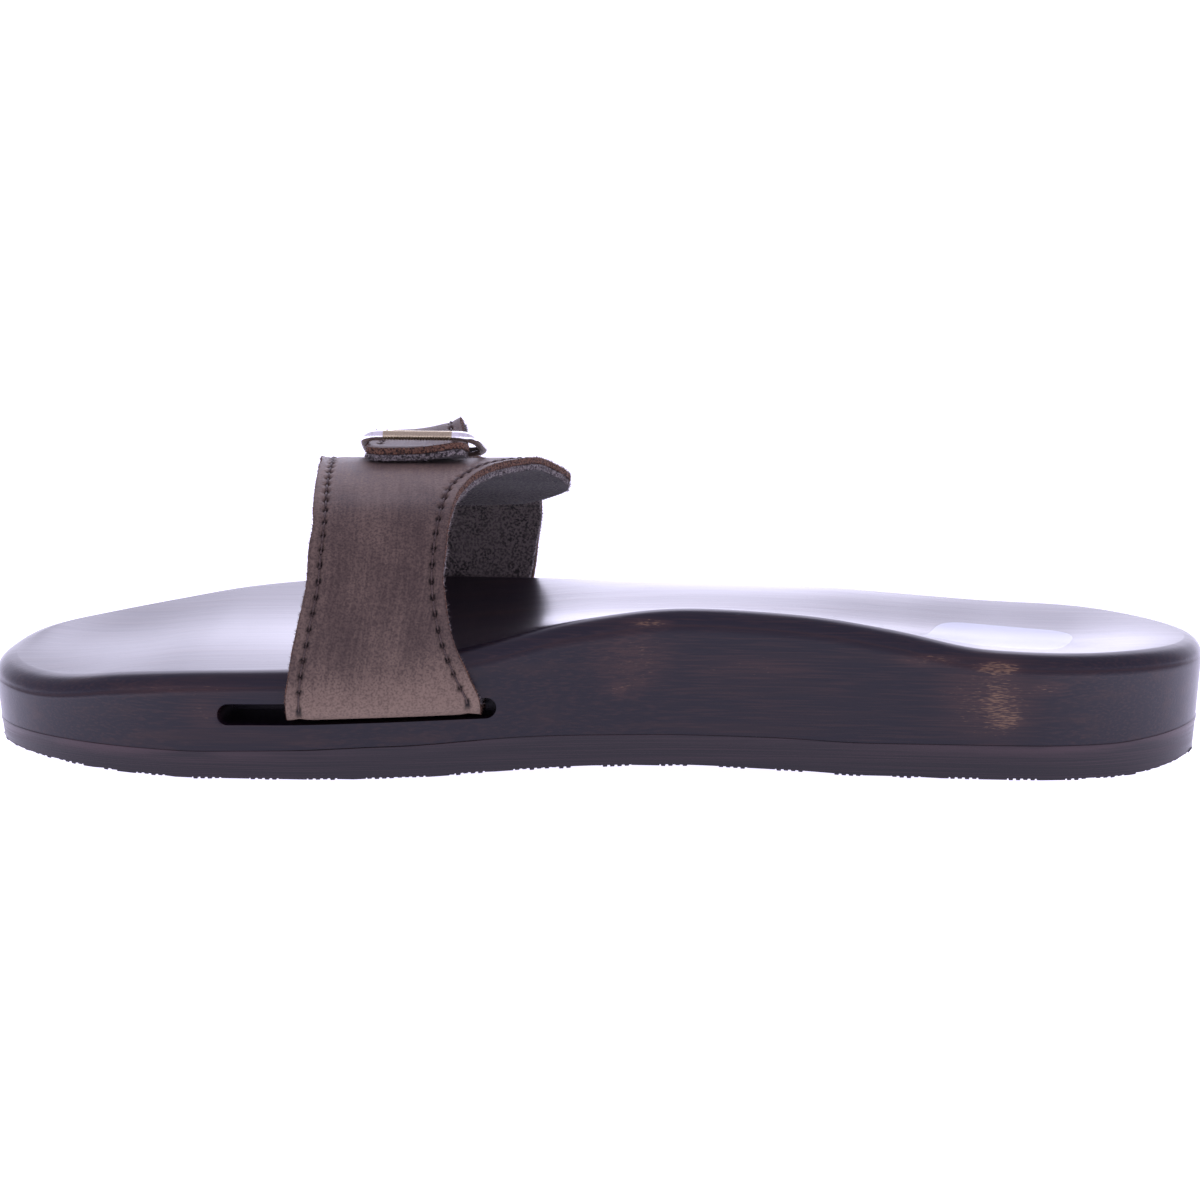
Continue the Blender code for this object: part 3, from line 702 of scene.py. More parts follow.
def leather_finish(colours):
    """Waxed leather: pale where it is bent or pulled, and paler or darker along the strap as painted light
    and shade, faint streaks along the strap, a fibrous cut edge.
    """
    finish = Finish("waxed_leather", specular_ior_level=0.18, sheen_weight=0.02, sheen_roughness=0.5)
    run = finish.mark("run", output="Vector")
    cloud = finish.noise(9.0, 14.0, 9.0, place=run)
    streaks = finish.noise(0.7, 12.0, 8.0, place=run)
    mottle = finish.noise(1.1)
    grain = finish.noise(0.46, detail=4.0)
    # Paleness is partly pull-up at the bends and partly painted light and shade along the strap
    pulled = finish.maths("ADD", finish.mark("pulled"), finish.rise(cloud, 0.3, 0.7, -0.10, 0.10))
    for layer, strength in ((streaks, 0.07), (mottle, 0.05), (grain, 0.05)):
        pulled = finish.maths("ADD", pulled, finish.rise(layer, 0.3, 0.7, -strength, strength))
    colour = finish.mix(finish.rise(pulled, 0.0, 1.0), colours.leather, colours.leather_pale_and_lit)
    fibres = finish.noise(0.42, detail=4.0)
    dark = [c * 0.35 for c in colours.leather]
    colour = finish.mix(finish.rise(grain, 0.34, 0.58, 0.40, 0.0), colour, dark)
    # Dark lumps on the cut edge stand in for the shade between fibres: painted shade, mixed with the pale
    # fibre colour
    raw = finish.mix(finish.rise(fibres, 0.36, 0.62), dark, colours.leather_cut)
    cut = finish.mark("cut")
    colour = finish.mix(cut, colour, raw)
    # Needle holes are painted near black: painted shade inside the holes, which the mesh only dips
    finish.set("Base Color", finish.mix(finish.mark("needle_hole"), colour, (0.004, 0.003, 0.003)))
    cut_roughness = finish.rise(cut, 0.0, 1.0, 0.0, 0.2)
    finish.set("Roughness", finish.maths("ADD", finish.rise(grain, 0.3, 0.7, 0.50, 0.64), cut_roughness))
    rough_cut = finish.maths("MULTIPLY", cut, fibres)
    finish.relief((grain, 0.05), (streaks, 0.008), (rough_cut, 0.5))
    return finish.material


def suede_finish(colours):
    """Grey suede with a short brushed nap, darker under the crest: painted shade on the flare's underside,
    partly grime where the foot rubs it.
    """
    sheen = {"sheen_weight": 0.12, "sheen_roughness": 0.6}
    finish = Finish("suede_lining", roughness=0.95, specular_ior_level=0.2, **sheen)
    nap = finish.noise(0.55, detail=4.0)
    brushed = finish.noise(5.0, detail=4.0)
    dark = [c * 0.2 for c in colours.suede]
    pale = [c * 1.6 for c in colours.suede]
    colour = finish.mix(finish.rise(nap, 0.38, 0.60), dark, pale)
    colour = finish.mix(finish.rise(brushed, 0.35, 0.75, 0.0, 0.45), colour, pale)
    # Painted shade under the crest, partly foot grime
    colour = finish.mix(finish.rise(finish.mark("handled"), 0.0, 1.0, 0.0, 0.45), colour, dark)
    # Dark lumps on the cut edge: painted shade between fibres, mixed with the pale fibre colour
    raw = finish.mix(finish.rise(nap, 0.40, 0.62), dark, colours.suede_fibre)
    finish.set("Base Color", finish.mix(finish.rise(finish.mark("cut"), 0.0, 1.0, 0.0, 0.75), colour, raw))
    finish.relief((nap, 0.25))
    return finish.material


def fibre_finish(name, lump, first, second, roughness):
    """Loose fibres of a cut edge, in two colours that change in lumps."""
    finish = Finish(name, roughness=roughness, specular_ior_level=0.2)
    finish.set("Base Color", finish.mix(finish.rise(finish.noise(lump), 0.35, 0.65), first, second))
    return finish.material


def thread_finish(colours):
    """Twisted waxed thread."""
    finish = Finish("sewing_thread", roughness=0.6, ior=1.4)
    twist = finish.noise(0.25, detail=2.0)
    pale = [c * 2.2 for c in colours.thread]
    finish.set("Base Color", finish.mix(finish.rise(twist, 0.35, 0.65), colours.thread, pale))
    finish.relief((twist, 0.08))
    return finish.material


def plated_finish(name, colour, roughness):
    """Plated metal with fine scratches along the bar and slightly dulled spots."""
    finish = Finish(name, metallic=1.0)
    scratches = finish.noise(3.0, 0.12, 0.12)
    spots = finish.noise(1.6, detail=2.0)
    dulled = [c * 0.62 for c in colour]
    finish.set("Base Color", finish.mix(finish.rise(spots, 0.52, 0.78, 0.0, 0.6), colour, dulled))
    finish.set("Roughness", finish.rise(scratches, 0.3, 0.7, roughness * 0.7, roughness * 1.4))
    finish.relief((scratches, 0.012))
    return finish.material


def make_footbed(sizes, finish):
    """Carved wooden sole: leaning wall, creased edge roll, hollowed top and two slots."""
    ring = outline()
    x, y = ring.T
    radius = through(FOOTBED_TOP, "edge_round", x)
    rim = eased_toe(rim_height(x, y), x)
    crease = sizes.crease / MM
    foot = inset(ring, WALL_DRAFT)
    low, high = rubber_top(foot[:, 0]) + SEAM_GAP, rim - radius - CREASE_START * crease
    profile = [(WALL_DRAFT * (1 - t), low + (high - low) * t) for t in np.linspace(0, 1, WALL_ROWS)]
    profile.append((crease / 2, rim - radius - CREASE_HALF_DEEP * crease))
    roll_start = len(profile)
    for turn in np.linspace(0, math.pi / 2, ROUND_STEPS):
        inward = crease + (radius - crease) * (1 - math.cos(turn))
        profile.append((inward, rim - radius * (1 - math.sin(turn))))
    shell = Shell()
    rings = np.array([shell.add(with_height(inset(ring, d), z)) for d, z in profile])
    shell.sheet(rings, closed=True)
    shell.lid(rings[0])
    edge = inset(ring, radius)
    share = (1 - np.cos(math.pi * np.arange(1, TOP_STEPS) / TOP_STEPS))[None, :] / 2
    medial, lateral = edge[1:OUTLINE_STATIONS, None], edge[:-OUTLINE_STATIONS:-1, None]
    rungs = medial + (lateral - medial) * share[..., None]
    medial, lateral = rim[1:OUTLINE_STATIONS, None], rim[:-OUTLINE_STATIONS:-1, None]
    height = carved_height(rungs[..., 0], medial + (lateral - medial) * share, 2 * share - 1)
    top = shell.add(np.concatenate([rungs, height[..., None]], axis=2))
    shell.lid(rings[-1], top)
    creased = np.zeros(shell.count)
    creased[rings[roll_start - 1 : roll_start + 1].ravel()] = 1.0
    creased[rings[roll_start - 2]] = CREASE_FADE
    footbed = shell.to_object("footbed_wood", finish, crease=creased)
    near_roll = (rings[-ROLL_RINGS:], top[:, :ROLL_TOP_COLUMNS], top[:, -ROLL_TOP_COLUMNS:])
    soften = np.concatenate([numbers.ravel() for numbers in near_roll])
    footbed.vertex_groups.new(name="roll_top").add(soften.tolist(), 1.0, "REPLACE")
    smoothing = footbed.modifiers.new("roll_top", "SMOOTH")
    smoothing.vertex_group = "roll_top"
    smoothing.iterations = ROLL_SMOOTHING
    cutters = [cut_slot(footbed, side, sizes.slot_mouth / MM) for side in ("medial", "lateral")]
    settle(footbed)
    for cutter in cutters:
        bpy.data.objects.remove(cutter)
    smooth(footbed.data, CREASE_ANGLE)
    mark_footbed(footbed.data)
    return footbed


def eased_toe(rim, x):
    """The rim's heights with the turn round the toe tip evened out."""
    evened = rim
    for _ in range(TOE_EASING):
        evened = (np.roll(evened, 1) + 2 * evened + np.roll(evened, -1)) / 4
    share = 1 - smooth_step(x, TOE_EASED_X, TOE_KEPT_X)
    return rim + (evened - rim) * share


def settle(obj):
    """Makes what the modifiers give into the object's own mesh."""
    graph = bpy.context.evaluated_depsgraph_get()
    settled = bpy.data.meshes.new_from_object(obj.evaluated_get(graph))
    obj.modifiers.clear()
    obj.data = settled


PATCH_CORE = 0.15


def mark_footbed(mesh):
    """Marks the rubbed patches of the wall."""
    place = np.empty(len(mesh.vertices) * 3)
    mesh.vertices.foreach_get("co", place)
    x, y, z = ((place.reshape(-1, 3) - (0.0, AXIS_Y, 0.0)) / MM).T
    rubbed = np.zeros(len(x))
    for side, at_x, at_z, length, height, amount in zip(*RUBBED_PATCHES.values()):
        away = np.hypot((x - at_x) / length, (z - at_z) / height)
        rubbed = np.maximum(rubbed, amount * (1 - smooth_step(away, PATCH_CORE, 1.0)) * (y * side > 0))
    keep_mark(mesh, "rubbed", rubbed)


def slot_section():
    """The slot's outline as points on its middle line, and the way outward from each, all round."""
    straight = 1 - SLOT_HEIGHT / (SLOT_REAR_X - SLOT_FRONT_X)
    run = np.linspace(SLOT_FRONT_X, SLOT_REAR_X, SLOT_RUN_STEPS + 1) * straight
    run += SLOT_MID_X - run.mean()
    turns = np.linspace(-math.pi / 2, math.pi / 2, SLOT_END_STEPS + 1)
    level = np.full(SLOT_RUN_STEPS - 1, math.pi / 2)
    rear, front = (np.full(len(turns), run[end]) for end in (-1, 0))
    middles = np.concatenate([rear, run[-2:0:-1], front, run[1:-1]])
    ways = np.concatenate([turns, level, turns + math.pi, -level])
    return middles, np.column_stack([np.cos(ways), np.sin(ways)])


def cut_slot(footbed, side, mouth):
    """A long slot with round ends, routed level into one side of the wood, its mouth rounded over."""
    sign = -1.0 if side == "medial" else 1.0
    middles, ways = slot_section()
    levels = [(SLOT_OVERRUN, mouth), (SLOT_PROUD, mouth)]
    for turn in np.linspace(0, math.pi / 2, SLOT_MOUTH_STEPS)[1:]:
        levels.append((mouth * (math.cos(turn) - 1), mouth * (1 - math.sin(turn))))
    shell = Shell()
    rings = []
    for out, grown in levels:
        x = middles + ways[:, 0] * (SLOT_HEIGHT / 2 + grown)
        z = SLOT_Z + ways[:, 1] * (SLOT_HEIGHT / 2 + grown) + SLOT_SLOPE * (x - SLOT_MID_X)
        rings.append(shell.add(np.column_stack([x, side_y(side, x) + sign * (out - SLOT_WALL_LEAN), z])))
    floor = shell.points[-1].copy()
    floor[:, 1] = float(side_y(side, SLOT_MID_X)) - sign * SLOT_DEPTH
    rings.append(shell.add(floor))
    shell.tube(rings)
    cutter = shell.to_object(f"slot_cutter_{side}", None)
    cut = footbed.modifiers.new(f"slot_{side}", "BOOLEAN")
    cut.operation = "DIFFERENCE"
    cut.solver = "EXACT"
    cut.object = cutter
    return cutter


SEAM_LIP = 0.14
LIP_START = 0.80
LIP_FULL = 0.93
GROUND_FULL = 0.4
GROUND_BAND = 3.4
GROUND_LEAST = 0.25
GROUND_LEAST_X = 40.0
GROUND_MOST_X = 105.0


def make_outsole(sizes, finish):
    """Rubber sheet bent to the floor line, with a slight lip at the seam."""
    ring = outline()
    depth = sizes.tread_depth / MM
    foot, seat = inset(ring, FOOT_DRAFT), inset(ring, WALL_DRAFT)
    low, high = floor_height(foot[:, 0]) + depth, rubber_top(seat[:, 0])
    shell = Shell()
    rings = []
    for t in np.linspace(0, 1, WALL_ROWS):
        lip = SEAM_LIP * smooth_step(t, LIP_START, LIP_FULL)
        out = FOOT_DRAFT + (WALL_DRAFT - FOOT_DRAFT) * t - lip
        rings.append(shell.add(with_height(inset(ring, out), low + (high - SEAM_LIP - low) * t)))
    rings.append(shell.add(with_height(seat, high)))
    rings = np.array(rings)
    shell.sheet(rings, closed=True)
    shell.lid(rings[0])
    shell.lid(rings[-1])
    place = np.vstack(shell.points)
    below = rubber_top(place[:, 0]) - place[:, 2]
    toward_end = smooth_step(np.abs(place[:, 0]), GROUND_LEAST_X, GROUND_MOST_X)
    amount = GROUND_LEAST + (1 - GROUND_LEAST) * toward_end
    ground = (1 - smooth_step(below, GROUND_FULL, GROUND_BAND)) * amount
    return shell.to_object("outsole_body", finish, ground=ground)


RIBS_PER_BLOCK = 4
RIB_SHARE = 0.70
RIB_TAPER = 0.14
RIB_UNEVENNESS = 0.6
RIB_OVERLAP = 0.05
END_WEAR = 0.35
END_WEAR_START_X = 110.0
END_WEAR_FULL_X = 126.0
TREAD_REACH = 52.0
TREAD_SEED = 7
EDGE_STEP = 0.25
FEWEST_STEPS = 3


def make_tread(sizes, finish):
    """Squares of ribs laid crosswise and lengthwise by turns, cut off at the sole's edge, unevenly worn."""
    block, depth = sizes.tread_block / MM, sizes.tread_depth / MM
    pitch = block / RIBS_PER_BLOCK
    half = pitch * RIB_SHARE / 2
    uneven = np.random.default_rng(TREAD_SEED)
    shell = Shell()
    for column, left in enumerate(np.arange(TOE_X, HEEL_X, block)):
        for row, near in enumerate(np.arange(-TREAD_REACH, TREAD_REACH, block)):
            for rib in range(RIBS_PER_BLOCK):
                middle = (rib + 0.5) * pitch
                if (column + row) % 2:
                    corners = crosswise_rib(left + middle, half, near, near + block)
                else:
                    corners = lengthwise_rib(near + middle, half, left, left + block)
                if corners is None:
                    continue
                outmost = np.abs(corners[:, 0]).max()
                worn = END_WEAR * smooth_step(outmost, END_WEAR_START_X, END_WEAR_FULL_X)
                add_rib(shell, corners, depth, worn + uneven.uniform(0, RIB_UNEVENNESS))
    return shell.to_object("outsole_tread", finish, crease_angle=25.0, ground=np.zeros(shell.count))


def tread_edge(side, x):
    """Edge of the sole's foot: the outline moved in squarely, so by more in Y where it turns."""
    slope = (side_y(side, x + EDGE_STEP) - side_y(side, x - EDGE_STEP)) / (2 * EDGE_STEP)
    inward = 1.0 if side == "medial" else -1.0
    return side_y(side, x) + inward * FOOT_DRAFT * np.hypot(1.0, slope)


def crosswise_rib(x, half, near, far):
    """Corners of a rib that runs across the sole, cut at its edge, or None where the sole doesn't reach."""
    sides = np.array([x - half, x + half])
    low = np.maximum(tread_edge("medial", sides), near)
    high = np.minimum(tread_edge("lateral", sides), far)
    if (high - low).min() < half or np.abs(sides).max() > HEEL_X - FOOT_DRAFT:
        return None
    return np.array([(sides[0], low[0]), (sides[1], low[1]), (sides[1], high[1]), (sides[0], high[0])])


def lengthwise_rib(y, half, front, rear):
    """Corners of a rib that runs along the sole, cut at its edge, or None where the sole doesn't reach."""
    x = np.arange(max(front, TOE_X + FOOT_DRAFT), min(rear, HEEL_X - FOOT_DRAFT) + EDGE_STEP / 2, EDGE_STEP)
    ends = []
    for side in (y - half, y + half):
        inside = x[(tread_edge("medial", x) <= side) & (side <= tread_edge("lateral", x))]
        if len(inside) < FEWEST_STEPS:
            return None
        ends.append((inside[0], inside[-1]))
    (a, b), (c, d) = ends
    return np.array([(a, y - half), (b, y - half), (d, y + half), (c, y + half)])


def add_rib(shell, corners, depth, wear):
    """A rib with leaning flanks: wide where it leaves the sole, narrower where it meets the floor."""
    middle = corners.mean(axis=0)
    crest = corners - np.sign(corners - middle) * RIB_TAPER
    root_z = floor_height(corners[:, 0]) + depth + RIB_OVERLAP
    crest_z = floor_height(crest[:, 0]) + wear * depth
    root = shell.add(np.column_stack([corners, root_z]))
    top = shell.add(np.column_stack([crest, crest_z]))
    shell.tube([root, top])


def inner_face(rows, side, share):
    """Points of a strap's inner face: a row for each place along it, at shares of its width."""
    x = rows["front"][:, None] + (rows["rear"] - rows["front"])[:, None] * share
    hug = rows["hug"][:, None]
    y = rows["y"][:, None] + hug * (side_y(side, x) - side_y(side, STRAP_REF_X))
    z = rows["z"][:, None] + hug * SLOT_SLOPE * (x - SLOT_MID_X) + rows["rear_rise"][:, None] * share**3
    return np.stack([x, y, z], axis=2)


def read_rows(strap, places):
    """Every column of a strap table, read smoothly at places counted in rows."""
    indexed = {"x": tuple(range(len(strap["y"]))), **strap}
    return {column: through(indexed, column, places) for column in strap}


def outward(grid, side):
    """Unit normals of a strap grid, pointing away from the foot."""
    normal = np.cross(np.gradient(grid, axis=0), np.gradient(grid, axis=1))
    return unit(normal if side == "lateral" else -normal)


class Strap:
    """The inner face of one strap. A place is a distance along it and a share across. Depth goes outward."""

    def __init__(self, rows, side):
        places = np.linspace(0, len(rows["y"]) - 1, STEPS_PER_ROW * len(rows["y"]))
        fine = read_rows(rows, places)
        run = np.hypot(np.diff(fine["y"]), np.diff(fine["z"]))
        run = np.concatenate([[0.0], np.cumsum(run)])
        self.length = run[-1]
        self.along = np.linspace(0, self.length, round(self.length / STRAP_SPACING) + 1)
        self.share = np.linspace(0, 1, STRAP_COLUMN_STEPS + 1)
        even = read_rows(rows, np.interp(self.along, run, places))
        self.front, self.rear = even["front"], even["rear"]
        self.width = self.rear - self.front
        self.grid = inner_face(even, side, self.share[None, :])
        self.normal = outward(self.grid, side)

    def at(self, along, share, depth=0.0):
        """Points at these places, by straight lines between the nearest points of the grid."""
        rows = len(self.along) - 1
        i = np.clip(np.asarray(along) / self.length * rows, 0, rows - SHORT_OF_END)
        j = np.clip(np.asarray(share) * STRAP_COLUMN_STEPS, 0, STRAP_COLUMN_STEPS - SHORT_OF_END)
        row, column = i.astype(int), j.astype(int)
        down, over = (i - row)[..., None], (j - column)[..., None]
        found = []
        for field in (self.grid, self.normal):
            near = field[row, column] * (1 - over) + field[row, column + 1] * over
            far = field[row + 1, column] * (1 - over) + field[row + 1, column + 1] * over
            found.append(near * (1 - down) + far * down)
        return found[0] + found[1] * np.asarray(depth)[..., None]

    def width_at(self, along):
        return np.interp(along, self.along, self.width)


def medial_strap():
    return Strap(MEDIAL_STRAP, "medial")


def on_medial_strap(y, lift):
    """(y, z) of a point that stands off the medial strap's outer face at its front edge, near its top."""
    strap = medial_strap()
    line = (strap.grid + strap.normal * STRAP_WALL)[:, 0, 1:]
    crown = line[:, 1] > line[:, 1].max() * CROWN_SHARE
    order = np.argsort(line[crown, 0])
    known_y = line[crown, 0][order]
    base = np.array([y, np.interp(y, known_y, line[crown, 1][order])])
    normals = strap.normal[:, 0, 1:][crown][order]
    normal = np.array([np.interp(y, known_y, normals[:, k]) for k in (0, 1)])
    return base + unit(normal) * lift


def lateral_strap():
    """The lateral strap, whose tab is worked out from the medial strap that it lies on."""
    tab = [on_medial_strap(y, PIECE_GAP + lift) for y, lift in zip(TAB_RUN["y"], TAB_RUN["lift"])]
    rows = {column: LATERAL_STRAP[column] + TAB_RUN[column] for column in ("front", "rear", "rear_rise")}
    rows["hug"] = LATERAL_STRAP["hug"] + (0.0,) * len(tab)
    rows["y"] = LATERAL_STRAP["y"] + tuple(float(p[0]) for p in tab)
    rows["z"] = LATERAL_STRAP["z"] + tuple(float(p[1]) for p in tab)
    return Strap(rows, "lateral")


SEAM_START = 6.5
SEAM_STEP = 0.25
SEAM_BREAK = 5.0
SEAM_SLACK = 0.05


def seam_runs(strap, inset_mm, stop):
    """Runs of places (along, share) at one distance inside the cut outline, from the slot to `stop`."""
    edge = np.vstack(
        [np.column_stack([strap.front, strap.along]), np.column_stack([strap.rear, strap.along])[::-1]]
    )
    run = run_along(edge)
    even = np.arange(0, run[-1], SEAM_STEP)
    edge = np.column_stack([np.interp(even, run, edge[:, k]) for k in (0, 1)])
    ahead = unit(np.gradient(edge, axis=0))
    seam = edge + inset_mm * np.column_stack([ahead[:, 1], -ahead[:, 0]])
    clear = nearest(seam, edge) > inset_mm - SEAM_SLACK
    seam = seam[clear & (seam[:, 1] > SEAM_START) & (seam[:, 1] < stop)]
    share = (seam[:, 0] - np.interp(seam[:, 1], strap.along, strap.front)) / strap.width_at(seam[:, 1])
    breaks = np.flatnonzero(np.linalg.norm(np.diff(seam, axis=0), axis=1) > SEAM_BREAK) + 1
    return np.split(np.column_stack([seam[:, 1], share]), breaks)


def needle_holes(strap, path, pitch):
    """Places on the seam at even distances."""
    run = run_along(strap.at(path[:, 0], path[:, 1]))
    at = np.arange(pitch / 2, run[-1], pitch)
    return np.column_stack([np.interp(at, run, path[:, k]) for k in (0, 1)])


def nearest(points, targets):
    """Distance from each point to the nearest target."""
    found = np.full(len(points), np.inf)
    for target in targets:
        found = np.minimum(found, ((points - target) ** 2).sum(axis=1))
    return np.sqrt(found)


EDGE_RINGS = (0.05, 0.16, 0.32, 0.5, 0.68, 0.84, 0.95)
CUT_WAVE = 5.0
CUT_SWAY = 0.16
LEAST_TRIM = 0.02
END_SWAY_LENGTH = 6.0
INSIDE_SHARES = (0.02, 0.98)
LAYER_GAP = 0.03
LEATHER_FACE = STRAP_WALL - 0.1
LEATHER_FRAY = 0.16
SUEDE_FRAY = 0.28
SUEDE_SWAY = 1.5
SUEDE_BULGE = 0.7
HOLE_RADIUS = 0.6
HOLE_DEPTH = 0.9
# How dark the needle holes are painted: painted shade inside them
HOLE_DARK_FROM = 0.2
HOLE_DARKEST = 0.6
SEAM_SAMPLING = 3
SEAM_PULL = 0.22
SEAM_PULL_WIDTH = 1.3


def layer_places(strap, seed, sway):
    """Places of one layer, whose cut edges sway a little inside the strap's outline."""
    along = strap.along
    trims = [sway * (1 + wander(along, CUT_WAVE, seed + k)) + LEAST_TRIM for k in (0, 1)]
    front, rear = (trim / strap.width for trim in trims)
    share = front[:, None] + (1 - front - rear)[:, None] * strap.share[None, :]
    pulled_in = sway * (1 + wander(strap.share * strap.width[-1], CUT_WAVE, seed + 2))
    near_end = smooth_step(along, strap.length - END_SWAY_LENGTH, strap.length)
    along = along[:, None] - near_end[:, None] * pulled_in[None, :]
    return along, share


def rim_of(grid):
    """The numbers of a grid's border, as one loop."""
    return np.concatenate([grid[:-1, 0], grid[-1, :-1], grid[:0:-1, -1], grid[0, :0:-1]])


def make_layer(name, strap, places, depths, relief, bulge, fray, seed, finish, **face_marks):
    """One layer of a strap between two depths: two faces and a bulging, frayed cut edge between them."""
    along, share = places
    low, high = depths
    faces = [strap.at(along, share, low), strap.at(along, share, high + relief)]
    inside = strap.at(np.roll(along, 1, axis=0), np.clip(share, *INSIDE_SHARES), (low + high) / 2)
    inside[0] = strap.at(along[1], np.clip(share[1], *INSIDE_SHARES), (low + high) / 2)
    shell = Shell()
    grids = [shell.add(face) for face in faces]
    for grid in grids:
        shell.sheet(grid)
    border = [rim_of(grid) for grid in grids]
    flat = np.vstack(shell.points)
    lower, upper = flat[border[0]], flat[border[1]]
    inward = inside.reshape(-1, 3)[border[0]]
    out = (lower + upper) / 2 - inward
    up = unit(upper - lower)
    out -= up * (out * up).sum(axis=1)[:, None]
    out /= np.linalg.norm(out, axis=1)[:, None] + 1e-9
    frayed = np.random.default_rng(seed)
    loops = [border[0]]
    for t in EDGE_RINGS:
        swell = bulge * math.sqrt(1 - (2 * t - 1) ** 4)
        rough = frayed.uniform(-1, 1, len(lower)) * fray * (1 - abs(2 * t - 1))
        ring = lower + (upper - lower) * t + out * (swell + rough)[:, None]
        loops.append(shell.add(ring))
    loops.append(border[1])
    loops = np.array(loops)
    shell.sheet(loops, closed=True)
    edge = loops[1:-1]
    cut = np.zeros(shell.count)
    cut[edge] = 1.0
    run = np.zeros((shell.count, 3))
    width = strap.width_at(along)
    for grid in grids:
        run[grid.ravel()] = np.stack([share * width, along, np.zeros_like(along)], axis=2).reshape(-1, 3)
    run[edge] = run[border[0]]
    marks = {"cut": cut, "run": run}
    for mark, values in face_marks.items():
        spread = np.zeros(shell.count)
        for grid, on_face in zip(grids, (0.0, 1.0)):
            spread[grid.ravel()] = values.ravel() * (on_face if mark == "needle_hole" else 1.0)
        spread[edge] = 0.0 if mark == "needle_hole" else spread[border[1]]
        marks[mark] = spread
    piece = shell.to_object(name, finish, crease_angle=60.0, **marks)
    return piece, lower, out, up


# How pale the leather is by the distance from its end in the slot: partly pull-up paleness at the bends,
# partly painted light and shade, paler low down and at the shoulder, darker on the waist and toward the free
# end
PULL_AND_LIGHT_LINE = table(
    ("x", "pale"),
    ("in the slot", 0.0, 0.95),
    ("bend out of the slot", 7.0, 1.0),
    ("low side", 10.0, 0.86),
    ("rim of the wood", 15.0, 0.50),
    ("above the rim", 22.0, 0.29),
    ("waist", 28.0, 0.30),
    ("above the waist", 35.0, 0.30),
    ("high side", 42.0, 0.33),
    ("below the shoulder", 50.0, 0.42),
    ("shoulder", 64.0, 0.58),
    ("crest", 75.0, 0.45),
    ("free end", 130.0, 0.18),
)
# The low side is paler toward the rear, and above it the front margin is
LOW_SIDE_END = 14.0
LOW_SIDE_FADE = 24.0
REAR_PALENESS = 0.24
MARGIN_SHARE = 0.05
MARGIN_FADE = 0.20
MARGIN_PALENESS = 0.14
# Under the crest and on to the free end the lining is darkened: painted shade on the flare's underside,
# partly foot grime
SHADE_AND_GRIME_START = 50.0
SHADE_AND_GRIME_FULL = 66.0


def make_strap(name, strap, unsewn, ripples, seed, sizes, finishes):
    """Leather over suede, the leather rippled and drawn in along its seam, which leaves the tip unsewn."""
    lining = sizes.lining / MM
    paths = seam_runs(strap, sizes.stitch_inset / MM, strap.length - unsewn)
    runs = [needle_holes(strap, path, sizes.stitch_pitch / MM) for path in paths]
    path, holes = np.vstack(paths), np.vstack(runs)
    places = layer_places(strap, seed, CUT_SWAY)
    ground = strap.at(*places).reshape(-1, 3)
    near_hole = nearest(ground, strap.at(*holes.T))
    near_seam = nearest(ground, strap.at(*path[::SEAM_SAMPLING].T))
    shape = places[0].shape
    relief = sum(
        height * np.exp(-(((places[0] - place) / width) ** 2)) for _, place, width, height in ripples
    )
    relief = relief * np.sin(math.pi * np.clip(places[1], 0, 1)) ** 0.5
    relief -= SEAM_PULL * np.exp(-((near_seam / SEAM_PULL_WIDTH) ** 2)).reshape(shape)
    hole = np.exp(-((near_hole / HOLE_RADIUS) ** 2)).reshape(shape)
    # Paleness along the strap: partly pull-up at the bends, partly painted light and shade
    pale = through(PULL_AND_LIGHT_LINE, "pale", places[0])
    low = 1 - smooth_step(places[0], LOW_SIDE_END, LOW_SIDE_FADE)
    front_margin = 1 - smooth_step(places[1], MARGIN_SHARE, MARGIN_FADE)
    pale = pale + REAR_PALENESS * (places[1] - 0.5) * low + MARGIN_PALENESS * front_margin * (1 - low)
    bulge = sizes.edge_round / MM
    leather, *leather_edge = make_layer(
        f"{name}_leather",
        strap,
        places,
        (lining + LAYER_GAP, LEATHER_FACE),
        relief - HOLE_DEPTH * hole,
        bulge,
        LEATHER_FRAY,
        seed + 10,
        finishes["leather"],
        needle_hole=smooth_step(hole, HOLE_DARK_FROM, HOLE_DARKEST),
        pulled=pale,
    )
    suede_places = layer_places(strap, seed + 20, SUEDE_SWAY * CUT_SWAY)
    suede, *suede_edge = make_layer(
        f"{name}_lining",
        strap,
        suede_places,
        (0.0, lining - LAYER_GAP),
        np.zeros(shape),
        SUEDE_BULGE * bulge,
        SUEDE_FRAY,
        seed + 30,
        finishes["suede"],
        handled=smooth_step(suede_places[0], SHADE_AND_GRIME_START, SHADE_AND_GRIME_FULL),
    )
    show(leather, "strap_leather", name)
    show(suede, "strap_leather")
    tall = STRAP_WALL - lining
    for kind, edge, height, longest, chance, finish in (
        ("suede", suede_edge, lining, sizes.suede_fibre, seed + 40, "fuzz"),
        ("leather", leather_edge, tall, sizes.leather_fibre, seed + 50, "raw"),
    ):
        fuzz = make_fibres(f"{name}_{kind}_fuzz", edge, height, longest / MM, chance, finishes[finish])
        show(fuzz, "strap_leather")
    for face, finish in (("leather", "thread"), ("lining", "suede")):
        seam = make_seam(f"{name}_{face}_stitches", strap, face, runs, sizes.thread / MM, finishes[finish])
        show(seam, "strap_leather")


FIBRES_PER_MM = 22
FIBRE_WIDTH = 0.12
FIBRE_SCATTER = 0.55
FIBRE_SHORTEST = 0.35
FIBRE_LENGTH_POWER = 1.5
FIBRE_BEND = 0.3
FIBRE_KNEE = 0.55
FIBRE_KNEE_BEND = 0.4
FIBRE_KNEE_WIDTH = 0.8
FIBRE_ROOT_OUT = 0.1


